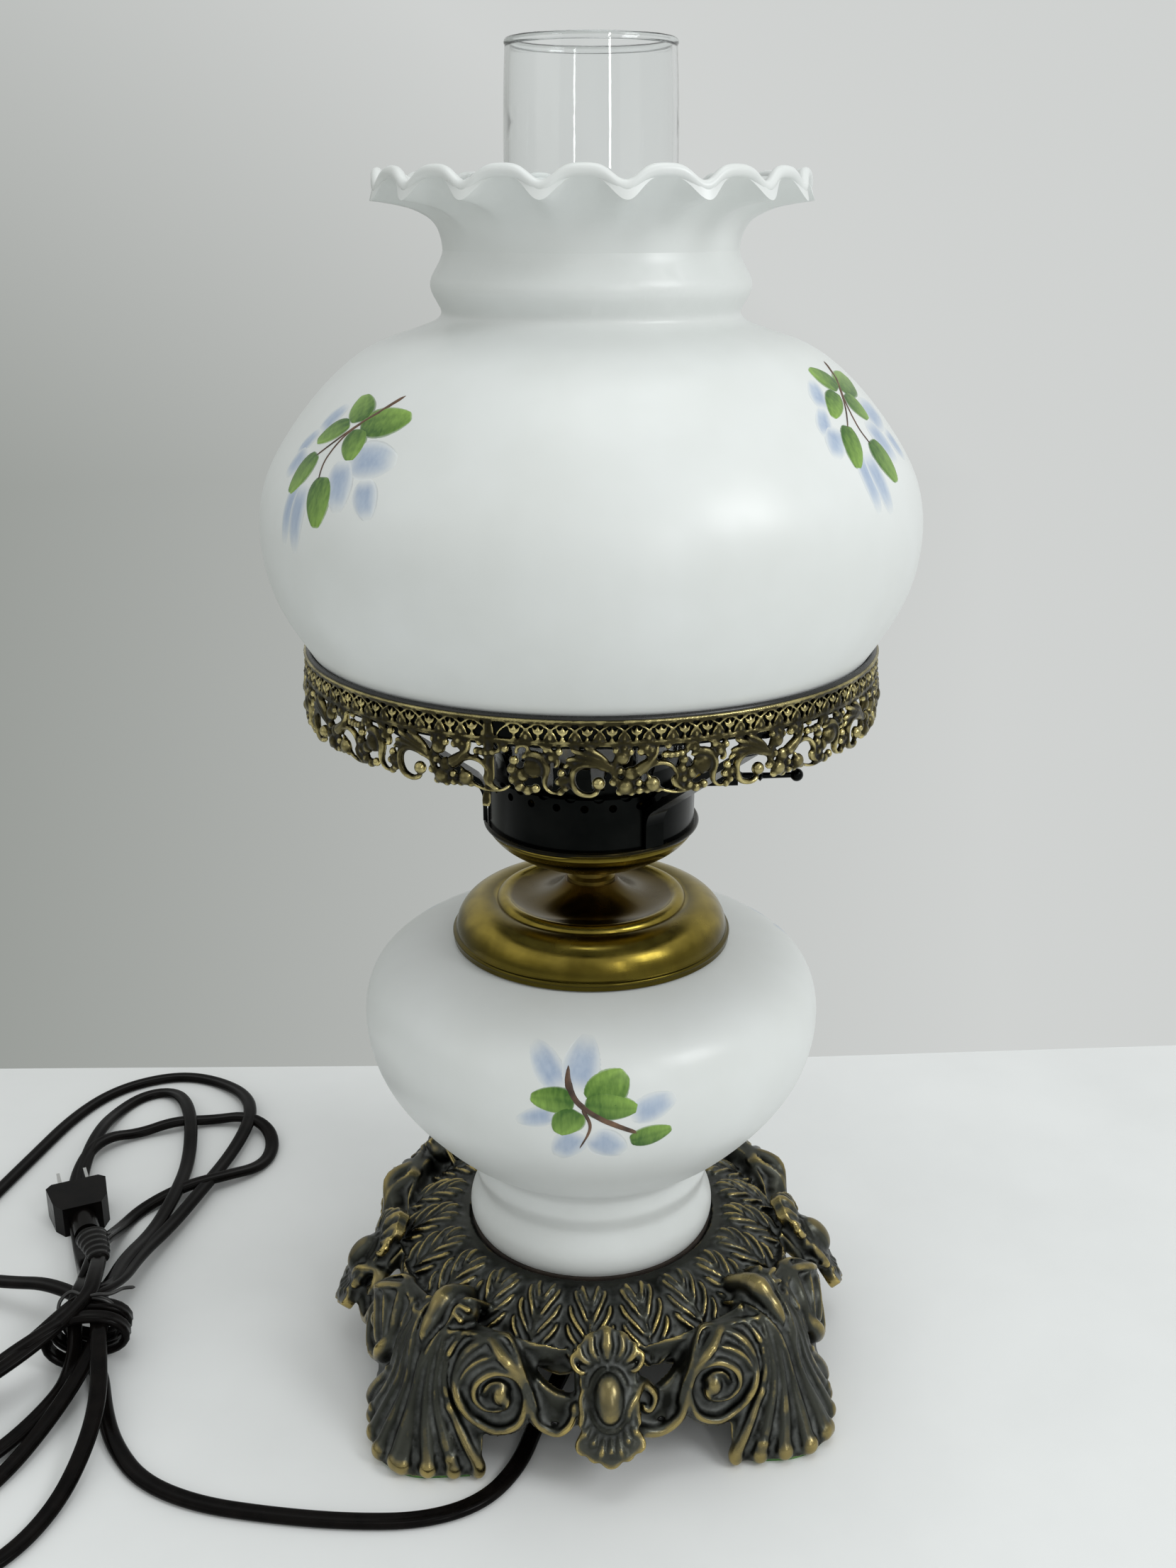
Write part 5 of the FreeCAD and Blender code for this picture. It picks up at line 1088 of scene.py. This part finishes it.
# One repeat of the scrolls: paths as (along, up from the lower edge), widths and heights.
SCROLLS = [
    # the head of the rosette, curling into a thin stem with a ball
    ([(-3.4, 12.6), (-0.4, 14.0), (3.0, 13.0), (4.8, 9.8), (4.3, 6.0), (4.6, 3.4), (6.4, 1.7), (8.9, 1.5)],
     [1.6, 2.8, 3.4, 3.2, 2.4, 1.6, 1.3, 1.2], [1.2, 1.8, 2.0, 1.8, 1.4, 1.1]),
    # curls and a bud under the moulding
    ([(-5.0, 13.6), (-4.6, 16.2), (-2.4, 17.0), (-1.0, 15.8), (-2.2, 14.6)], [1.3, 1.4, 1.0], [1.2, 1.3]),
    ([(2.4, 17.2), (5.0, 16.4), (7.2, 14.4), (8.2, 11.4), (7.0, 10.2)], [1.2, 1.8, 2.2, 1.4], [1.3, 1.5]),
    # C-scroll with acanthus folds over it
    ([(21.8, 2.4), (18.6, 0.9), (14.8, 2.0), (13.0, 5.4), (13.5, 9.2), (16.4, 11.4), (20.6, 11.2),
      (24.6, 9.4)], [2.0, 2.0, 2.3, 2.6, 3.2, 3.0, 2.4], [1.5, 1.8, 1.8, 1.8]),
    ([(10.8, 12.6), (14.0, 13.0), (18.4, 12.6), (22.4, 11.0), (25.6, 8.6)],
     [1.6, 2.4, 2.8, 2.0], [1.3, 2.0, 1.6]),
    ([(12.4, 16.4), (15.6, 15.0), (19.6, 13.6), (23.4, 11.8), (26.2, 9.6)],
     [2.0, 2.6, 2.6, 1.8], [1.4, 2.0, 1.6]),
    ([(16.6, 17.4), (19.0, 16.0), (22.0, 14.0), (25.0, 11.4)], [1.6, 2.4, 2.2, 1.6], [1.4, 1.8, 1.4]),
    ([(10.2, 9.8), (12.0, 11.2), (14.4, 11.4)], [1.4, 2.0, 1.4], [1.2, 1.4]),
    # horn with its S-shaped tail and a leaf
    ([(40.2, 17.4), (39.8, 14.8), (38.2, 12.2), (35.8, 10.0), (32.6, 8.0)], [1.3, 1.8, 3.2, 4.4, 4.6],
     [1.2, 1.6, 2.2, 2.4]),
    ([(36.0, 9.8), (40.6, 11.3), (44.6, 10.2), (46.8, 7.2), (46.6, 4.4), (48.2, 2.2), (50.4, 1.6)],
     [2.4, 2.0, 1.8, 1.7, 2.2, 2.0, 1.2], [1.6, 1.5, 1.4]),
    ([(45.2, 6.2), (46.4, 3.6), (48.8, 1.8)], [1.2, 2.4, 1.2], [1.2, 1.6]),
    # ribbon that the beads lie on, ending in a curl
    ([(42.2, 13.8), (46.0, 13.6), (49.6, 14.2), (51.0, 16.0), (49.8, 17.4)],
     [1.6, 1.6, 1.6, 1.3], [1.1, 1.2]),
    # plain swag along the lower edge
    ([(40.4, 3.0), (43.2, 1.6), (47.0, 0.9), (51.4, 1.4), (54.2, 3.2)], [1.1, 1.1, 1.1], [1.0, 1.0]),
    # stems that carry the flowers
    ([(27.0, 17.4), (27.4, 14.4), (26.4, 10.8), (26.4, 7.4), (28.6, 4.6)], [1.6, 2.0, 2.0, 1.8], [1.2, 1.4]),
    ([(30.0, 3.4), (34.2, 2.2), (38.6, 3.6), (37.0, 7.8)], [1.8, 1.8, 1.8], [1.2, 1.4]),
    ([(34.6, 17.4), (36.4, 15.4), (37.6, 13.4)], [2.0, 2.2, 1.6], [1.3, 1.5]),
    ([(9.2, 9.6), (9.8, 6.2), (9.8, 2.4)], [1.4, 1.8, 1.4], [1.1, 1.3]),
]
# Beads as (along, up, radius, how proud): petals, berries, buds, balls and flower lobes.
BUDS = [
    (0.6, 9.6, 3.6, 2.4), (-5.8, 11.6, 1.7, 1.6), (-6.4, 8.6, 1.9, 1.7), (-5.9, 5.4, 1.9, 1.7),
    (-4.0, 3.0, 1.8, 1.6), (-1.4, 1.8, 1.7, 1.5), (1.2, 2.6, 1.6, 1.5), (-3.2, 7.0, 2.4, 1.8),
    (9.2, 1.6, 1.2, 1.4), (6.4, 13.4, 1.8, 1.8), (8.8, 15.2, 1.4, 1.5), (4.8, 15.8, 1.4, 1.5),
    (9.6, 8.0, 1.5, 1.5), (8.7, 5.2, 1.4, 1.5), (10.9, 5.8, 1.5, 1.5), (10.7, 3.2, 1.4, 1.5),
    (9.3, 1.9, 1.3, 1.3), (21.4, 4.9, 2.3, 2.4),
    (28.9, 13.4, 2.6, 2.2), (27.0, 15.8, 1.3, 1.5), (29.6, 16.3, 1.4, 1.5), (31.4, 15.2, 1.4, 1.5),
    (35.0, 15.2, 1.5, 1.6), (36.6, 16.4, 1.5, 1.6), (38.2, 15.6, 1.4, 1.5), (25.6, 9.6, 1.6, 1.6),
    (28.0, 9.0, 1.6, 1.6), (31.6, 7.7, 2.6, 1.8),
    (30.0, 3.7, 2.9, 2.3), (28.2, 1.9, 1.4, 1.5), (31.8, 1.7, 1.4, 1.5), (38.7, 4.1, 2.7, 2.3),
    (37.0, 2.2, 1.3, 1.4), (40.6, 2.4, 1.3, 1.4), (34.4, 2.2, 1.4, 1.6), (26.2, 5.2, 1.5, 1.5),
    (34.2, 4.8, 1.5, 1.5), (42.8, 13.7, 1.3, 1.7), (44.6, 13.6, 1.3, 1.7), (46.4, 13.6, 1.3, 1.7),
    (48.2, 13.9, 1.3, 1.7), (52.4, 15.4, 1.4, 1.5), (43.8, 16.6, 1.2, 1.3),
]


def on_band(along, height, radius=GALLERY_RADIUS):
    """A point of the gallery's cylinder and its normal, from the seam along the band."""
    angle = SEAM_ANGLE + along / GALLERY_RADIUS
    c, s = math.cos(angle), math.sin(angle)
    return (radius * c, radius * s, height), (c, s, 0.0)


def band_relief(relief, start):
    """One repeat of the gallery: scrolls below the moulding, interlaced arches above it."""
    def draw(path, widths, heights, base, steps=5, sides=8):
        pairs = [on_band(start + u, base + v) for u, v in through(path, steps)]
        relief.stroke_along(pairs, widths, heights, sides)

    def knob(u, height, radius, proud):
        centre, normal = on_band(start + u, height)
        along = (-normal[1], normal[0], 0.0)
        relief.bead(centre, (radius, radius, proud), (along, (0, 0, 1), normal), 7, 12)

    for path, widths, heights in SCROLLS:
        draw([(u + ROSETTE_AT, v) for u, v in path], widths, heights, GALLERY_LOW)
    for u, v, radius, proud in BUDS:
        knob(u + ROSETTE_AT, GALLERY_LOW + v, radius, proud)

    pitch = REPEAT_LENGTH / ARCHES
    span, low = 0.78 * pitch, MOULDING_Z + 0.6
    arch = [(-span, 0.0), (-0.86 * span, 2.2), (-0.5 * span, 4.3), (0.0, 5.7),
            (0.5 * span, 4.3), (0.86 * span, 2.2), (span, 0.0)]
    for number in range(ARCHES):
        middle = (number + 0.5) * pitch
        draw([(middle + u, v) for u, v in arch], [0.75], [0.85], low, 3, 6)
        draw([(middle, 1.0), (middle, 3.0), (middle, 5.0)], [0.6, 2.0, 0.9], [0.7, 1.1, 0.8], low, 3, 6)
        for side in (-1, 1):
            leaf = [(middle + side * 0.3, 2.0), (middle + side * 1.1, 3.0), (middle + side * 1.9, 4.4)]
            draw(leaf, [0.8, 1.2, 0.7], [0.7, 1.0, 0.7], low, 3, 6)
        draw([(middle + pitch / 2, v) for v in (-0.1, 1.4, 3.0)], [2.6, 2.0, 0.9], [1.0, 1.2, 0.9], low, 3, 8)
        knob(middle, low + 0.7, 0.75, 1.0)


BAR_STEPS, BAR_SIDES = 240, 10


def turned_bar(relief, profile):
    """A closed ring with a section of (radius, height) points."""
    rings = [
        (r * math.cos(a), r * math.sin(a), z)
        for a in np.linspace(0, 2 * math.pi, BAR_STEPS, endpoint=False)
        for r, z in profile
    ]
    relief.add(rings, hoop_faces(BAR_STEPS, len(profile)))


# The gallery's mouldings: height, how proud and how tall.
MOULDINGS = [
    (MOULDING_Z + 0.35, 1.0, 0.55), (MOULDING_Z - 0.55, 0.8, 0.45),
    (GALLERY_TOP - 1.75, 0.75, 0.4), (GALLERY_TOP - 0.95, 1.05, 0.5),
]
# The overlapping ends of the strip: place, lower end, width and height.
SEAM_LINES = [(0.6, GALLERY_LOW + 0.4, 1.0, 1.2), (2.0, GALLERY_LOW + 1.2, 3.4, 0.6)]
HOOK = [(284.0, -0.4), (281.0, -0.2), (278.6, 0.0), (277.2, 0.8), (278.0, 1.6)]
LIP = [(104.0, 306.6), (105.5, 306.6), (105.9, 307.4), (105.5, 308.3), (104.7, 308.6), (104.0, 308.2)]


def gallery_relief():
    """The strip's scrolls, arches and mouldings, its overlapping ends and the hook below them."""
    relief = Relief()
    for number in range(REPEATS):
        band_relief(relief, SEAM_TAB + number * REPEAT_LENGTH)
    for height, proud, tall in MOULDINGS:
        angles = [2 * math.pi * k / BAR_SIDES for k in range(BAR_SIDES)]
        bar = [(GALLERY_RADIUS + proud * math.cos(a), height + tall * math.sin(a)) for a in angles]
        turned_bar(relief, bar)
    for along, low, width, height in SEAM_LINES:
        pairs = [on_band(along, z) for z in np.linspace(low, GALLERY_TOP - 0.8, 12)]
        relief.stroke_along(pairs, [width], [height], 8)
    hook = [on_band(SEAM_LINES[0][0], z, GALLERY_RADIUS + out) for z, out in HOOK]
    relief.stroke_along(hook, [3.4, 3.4, 3.0], [0.7], 8)
    return relief


def make_gallery(material, lip_material):
    """The stamped strip round the shade, and the black lip, whose black also paints the shadow in the gap
    between the shade and the ring.
    """
    relief = gallery_relief()
    points = np.array(relief.vertices)
    push = np.maximum(GALLERY_BACK / np.hypot(points[:, 0], points[:, 1]), 1.0)
    points[:, :2] *= push[:, None]
    skin = fused("gallery", [(points, relief.faces)], BAND_VOXEL, 1)
    band = new_object("gallery", skin, material, "shade_holder")
    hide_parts("gallery_band")
    lip = Relief()
    turned_bar(lip, LIP)
    slotted("gallery_lip", lip.vertices, lip.faces, lip_material, "shade_holder")


# ---------------------------------------------------------------- painted sprays
# A dab of paint is (across, up, length, width, way in degrees), measured from the twig's fork. A
# twig is a line of places and its widths.
SHADE_SPRAY = {
    "leaves": [
        (9.0, 3.6, 15.0, 9.0, 28), (-2.6, 6.6, 10.5, 7.6, 112), (3.2, -6.6, 10.5, 7.0, -78),
        (-8.6, -3.4, 12.0, 6.0, 214), (-14.0, -18.6, 14.0, 6.6, 242), (-1.6, -27.0, 14.5, 8.0, 276),
    ],
    "petals": [
        (-12.2, 2.0, 11.0, 5.0, 62), (-18.6, -7.4, 10.0, 4.4, 58), (-20.0, -15.0, 10.0, 6.0, 232),
        (-14.6, -30.6, 18.0, 4.8, 262), (-9.6, -32.4, 18.0, 5.6, 272), (11.6, -10.4, 14.0, 10.0, 12),
        (4.6, -20.6, 15.0, 7.4, 282), (15.6, -22.6, 11.0, 6.2, 292),
    ],
    "twigs": [
        ([(10.2, 13.8), (5.4, 6.4), (0.6, 0.6), (-5.6, -6.8), (-11.2, -12.8)], [1.1, 0.9, 0.5, 0.4]),
        ([(6.2, 6.6), (1.4, 1.2), (-2.8, -5.0), (-5.4, -13.6), (-4.4, -21.2)], [0.6, 0.5, 0.4]),
    ],
}
FONT_SPRAY = {
    "leaves": [
        (9.4, 6.6, 13.5, 11.0, 42), (10.6, -0.4, 15.5, 8.4, 350), (-8.4, 1.6, 13.0, 8.0, 172),
        (-3.4, -7.0, 10.5, 8.4, 236), (23.4, -13.0, 12.5, 6.6, 12),
    ],
    "petals": [
        (-10.4, 12.6, 14.5, 7.4, 128), (1.0, 13.6, 14.5, 9.4, 82), (-13.4, -5.2, 12.5, 6.0, 196),
        (24.0, -1.6, 13.5, 8.0, 22), (-3.0, -16.8, 12.5, 8.0, 236), (9.6, -15.8, 12.0, 9.0, 318),
    ],
    "twigs": [
        ([(-3.4, 13.8), (-3.2, 7.6), (-0.2, 1.2), (8.0, -5.4), (20.4, -12.4)], [0.7, 2.2, 1.6, 1.9, 1.2]),
        ([(1.2, -1.0), (3.8, -8.6), (0.2, -18.4)], [1.2, 0.9, 0.5]),
    ],
}
# Where each spray's fork stands: an angle in degrees and a height.
SHADE_PLACES = [(-142.0, 394.0), (-31.5, 402.0), (90.0, 396.0)]
FONT_PLACES = [(-96.9, 160.3), (23.1, 160.3), (143.1, 160.3)]
# How each kind of dab is brushed: its soft edge, its blunt end, how much longer and wider it comes
# out than its chart, and how far it stands off the glass.
BRUSHES = {"leaves": (0.14, 0.80, 1.22, 1.5, 0.17), "petals": (0.75, 0.86, 1.3, 1.6, 0.06)}
PAINT_STEP, PAINT_SUNK, TWIG_PROUD, TWIG_WIDER = 0.012, 0.3, 0.30, 1.3
# A dab's grid and the roundness of its sides, then the reach and the depths of the rays that find
# the glass: from the side for a spray's place, and along its own normal for each point.
DAB_ALONG, DAB_OVER, DAB_ROUND = 15, 9, 0.62
GLASS_RAY, GLASS_DEPTHS = 200.0, (50.0, 190.0)
BRUSH_RAY, BRUSH_DEPTHS = 40.0, (20.0, 70.0)


def slab_faces(along, over):
    """The faces of a thin slab: a grid of points, the same grid below it, and its border."""
    count = along * over
    grid = np.arange(count).reshape(along, over)
    faces = []
    for a, b in zip(grid[:-1, :-1].ravel().tolist(), grid[1:, :-1].ravel().tolist()):
        faces.append((a, b, b + 1, a + 1))
        faces.append((count + a, count + a + 1, count + b + 1, count + b))
    border = [*grid[0], *grid[1:, -1], *grid[-1, -2::-1], *grid[-2:0:-1, 0]]
    border = [int(number) for number in border]
    for a, b in zip(border, border[1:] + border[:1]):
        faces.append((a, a + count, b + count, b))
    return faces


class Painting(Relief):
    """Thin dabs and twigs that lie on a piece of glass, with how dense the paint is at each vertex."""

    def __init__(self, drape, stretch):
        super().__init__()
        self.drape, self.stretch = drape, stretch
        self.layers = {"paint": [], "tone": []}

    def move(self, angle, height):
        """Goes to a place on the glass, with a frame of its own there."""
        turn = math.radians(angle)
        radial = np.array((math.cos(turn), math.sin(turn), 0.0))
        start = (GLASS_RAY * radial[0], GLASS_RAY * radial[1], height)
        middle, normal = self.drape.line([(start, tuple(-radial))] * 3, *GLASS_DEPTHS)
        self.middle, self.across = middle[1], np.array((-math.sin(turn), math.cos(turn), 0.0))
        lean = (1 + FACING) * normal[1] - FACING * radial
        lean -= self.across * np.dot(lean, self.across)
        self.out = lean / np.linalg.norm(lean)
        self.up = np.cross(self.out, self.across)

    def laid(self, chart):
        """Points and normals on the glass below places of the flat chart."""
        rays = []
        for x, y in chart:
            place = self.middle + self.across * x * self.stretch + self.up * y
            rays.append((place + self.out * BRUSH_RAY, -self.out))
        return self.drape.line(rays, *BRUSH_DEPTHS, 0)

    def dab(self, kind, number, x, y, length, width, way):
        """A brush dab with a narrow start, a rounded end and edges that fade out."""
        soft, blunt, longer, wider, lift = BRUSHES[kind]
        lift += PAINT_STEP * number
        length, width = length * longer, width * wider
        turn = math.radians(way)
        ahead = np.array((math.cos(turn), math.sin(turn)))
        aside = np.array((-math.sin(turn), math.cos(turn)))
        chart, edge, tone = [], [], []
        for s in np.linspace(0.0, 1.0, DAB_ALONG):
            half = width / 2 * max(math.sin(math.pi * s**blunt), 0.0) ** DAB_ROUND
            for t in np.linspace(-1.0, 1.0, DAB_OVER):
                place = np.array((x, y)) + ahead * (s - 0.5) * length + aside * half * t
                chart.append(place + aside * 0.5 * math.sin(3 * s + x))
                edge.append(1.0 - max(abs(t), abs(2 * s - 1)))
                tone.append(0.02 + 0.74 * s + 0.26 * t + 0.1 * math.sin(9 * t + x))
        points, normals = self.laid(chart)
        rim = np.minimum(np.array(edge) * 6, 1.0)
        top = points + normals * (lift * (2 * rim - 1))[:, None]
        bottom = points - normals * PAINT_SUNK
        self.add(np.vstack([top, bottom]), slab_faces(DAB_ALONG, DAB_OVER))
        density = np.clip(np.array(edge) / soft, 0.0, 1.0)
        self.layers["paint"].extend(np.concatenate([density * density * (3 - 2 * density)] * 2))
        self.layers["tone"].extend(tone * 2)

    def twig(self, path, widths):
        points, normals = self.laid(through(path))
        self.stroke(points, normals, [TWIG_WIDER * w for w in widths], [TWIG_PROUD], 8)


def painted(name, node, body, places, stretch, spray, paints):
    """The same spray at several places round a piece of glass."""
    drape = Drape(node)
    for kind, marks in spray.items():
        painting = Painting(drape, stretch)
        for place in places:
            painting.move(*place)
            for number, mark in enumerate(marks):
                if kind == "twigs":
                    painting.twig(*mark)
                else:
                    painting.dab(kind, number, *mark)
        label = f"{name}_{kind}"
        piece = slotted(label, painting.vertices, painting.faces, paints[kind], body)
        add_layers(piece.data, painting.layers)


# ---------------------------------------------------------------- rounded edges
# How far below the top a rim's points are taken, the rounds of smoothing, the steps round it, its
# sides, and the share of its radius by which it is set down into the glass.
EDGE_DEPTH, EDGE_ROUNDS, EDGE_STEPS, EDGE_SIDES, EDGE_SUNK = 0.6, 6, 360, 12, 0.55


def rolled_edge(name, node, body, radius, window):
    """The fire-rounded edge that follows the top of a piece of glass."""
    vertices = node_parts(node)[0]
    angles = np.arctan2(vertices[:, 1], vertices[:, 0])
    turns = [2 * math.pi * step / EDGE_STEPS for step in range(EDGE_STEPS)]
    path = []
    for turn in turns:
        away = np.abs((angles - turn + math.pi) % (2 * math.pi) - math.pi)
        near = vertices[away < window]
        tops = near[near[:, 2] > near[:, 2].max() - EDGE_DEPTH]
        reach = np.hypot(tops[:, 0], tops[:, 1])
        path.append((0.5 * (reach.min() + reach.max()), tops[:, 2].max()))
    path = np.array(path)
    for _ in range(EDGE_ROUNDS):
        path = 0.5 * path + 0.25 * (np.roll(path, 1, 0) + np.roll(path, -1, 0))
    rings = []
    for turn, (reach, z) in zip(turns, path):
        for corner in range(EDGE_SIDES):
            lean = 2 * math.pi * corner / EDGE_SIDES
            r = reach + radius * math.cos(lean)
            height = z + radius * (math.sin(lean) - EDGE_SUNK)
            rings.append((r * math.cos(turn), r * math.sin(turn), height))
    glass = NODES[node].data.materials[0]
    slotted(name, rings, hoop_faces(EDGE_STEPS, EDGE_SIDES), glass, body)


def soften_edges(node, width, segments, least_angle):
    """Rounds a CAD piece's sharp edges with a modifier that leaves its mesh alone."""
    bevel = NODES[node].modifiers.new("soft_edges", "BEVEL")
    bevel.width = width * MM
    bevel.segments = segments
    bevel.limit_method = "ANGLE"
    bevel.angle_limit = math.radians(least_angle)


# ---------------------------------------------------------------- the lamp
make_camera()
make_studio()
cord_material = plastic_material("cord_brown", (0.002, 0.0017, 0.0016), (0.005, 0.004, 0.0036), 0.22, 0.06)
cord, cord_line, cord_length = make_cord(cord_material)
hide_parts("cord_run", "cord_hank")
plug_sleeve(cord_line, cord_material)

cast_bronze = patina_material(
    "cast_bronze", (0.010, 0.0105, 0.009), (0.135, 0.142, 0.132), (0.066, 0.068, 0.057),
    (0.52, 0.40, 0.14), 0.40, 0.80, (0.15, 0.34))
make_casting(cast_bronze)
stamped_brass = patina_material(
    "stamped_brass", (0.005, 0.005, 0.004), (0.014, 0.012, 0.008), (0.050, 0.042, 0.019),
    (0.62, 0.53, 0.24), 0.195, 0.6, (0.16, 0.32))
# The lip is black metal, and its black also stands in as painted shadow in the gap between the shade and the
# ring.
black_lip_and_shadow = plastic_material("black_lip_and_shadow", (0.004, 0.004, 0.004), (0.010, 0.010, 0.009), 0.28)
make_gallery(stamped_brass, black_lip_and_shadow)

paint_nodes(felt_material(), "felt_pads")
gasket_brown = plastic_material("gasket_brown", (0.015, 0.010, 0.007), (0.035, 0.024, 0.016), 0.7)
paint_nodes(gasket_brown, "font_gasket")
paint_nodes(opal_material("opal_font"), "font")
paint_nodes(opal_material("opal_shade"), "shade")
paint_nodes(clear_glass_material(), "chimney")
paint_nodes(opal_material("frosted_bulb"), "bulb_glass")
antique = brass_material("antique_brass", (0.10, 0.07, 0.012), (0.30, 0.22, 0.055))
paint_nodes(antique, "neck", "socket_cap", "socket_shell", "key_bushing")
zinc = brass_material("zinc", (0.45, 0.45, 0.44), (0.55, 0.55, 0.54))
paint_nodes(zinc, "base_washer", "base_nut", "threaded_rod", "bulb_cap", "plug_blades")
bright_brass = brass_material("bright_brass", (0.62, 0.46, 0.18), (0.75, 0.58, 0.26))
paint_nodes(bright_brass, "screw_shell", "centre_contact")
black_metal = brass_material(
    "black_metal", (0.0035, 0.0040, 0.0038), (0.007, 0.0075, 0.007), (0.20, 0.28))
paint_nodes(black_metal, "burner_collar", "chimney_holder", "shade_ring", "tripod_arms", "arm_rivets",
            "turn_key")
moulded_black = plastic_material("moulded_black", (0.006, 0.006, 0.006), (0.014, 0.013, 0.012), 0.35)
paint_nodes(moulded_black, "socket_body", "cord_bushing", "twist_tie", "socket_liner")
paint_nodes(cord_material, "inner_lead", "plug_body")

# On the cap, the gold bands at its ridges are painted highlights over the brass's own olive, and its darker
# dish and outer rim are painted shade.
shaded_dish, olive, gold = (0.085, 0.058, 0.012), (0.12, 0.090, 0.014), (0.31, 0.235, 0.045)
seam = (0.03, 0.022, 0.004)
cap_stops = [
    (8.0, (0.07, 0.035, 0.008)), (14.0, shaded_dish), (30.5, shaded_dish), (33.0, gold), (36.0, gold), (38.5, olive),
    (45.0, gold), (50.0, gold), (52.8, olive), (54.6, (0.09, 0.07, 0.012)),
]
bowl_stops = [
    (216.0, gold), (227.0, gold), (228.4, olive), (229.2, seam), (230.0, gold), (233.0, olive),
    (233.6, seam), (234.0, gold), (234.7, olive), (235.3, (0.010, 0.010, 0.008)),
    (238.0, (0.005, 0.005, 0.0045)),
]
paint_nodes(spun_material("cap_brass", "radius", 8.0, 56.0, cap_stops, 0.27), "font_cap")
paint_nodes(spun_material("bowl_brass", "height", 216.0, 238.0, bowl_stops, 0.30), "burner_bowl")

tie_wire(moulded_black)
soften_edges("plug_body", 1.2, 3, 35.0)
paints = {
    "leaves": paint_material("leaf_green", (0.035, 0.115, 0.006), (0.25, 0.42, 0.07), 1.0),
    "petals": paint_material("petal_blue", (0.24, 0.33, 0.50), (0.46, 0.54, 0.65), 0.85),
    "twigs": plastic_material("twig_brown", (0.035, 0.018, 0.010), (0.16, 0.085, 0.045), 0.4),
}
painted("shade_spray", "shade", "shade", SHADE_PLACES, 1.3, SHADE_SPRAY, paints)
painted("font_spray", "font", "lamp", FONT_PLACES, 1.1, FONT_SPRAY, paints)
rolled_edge("shade_rim", "shade", "shade", 2.1, 0.03)
rolled_edge("chimney_rim", "chimney", "chimney", 1.35, math.pi)
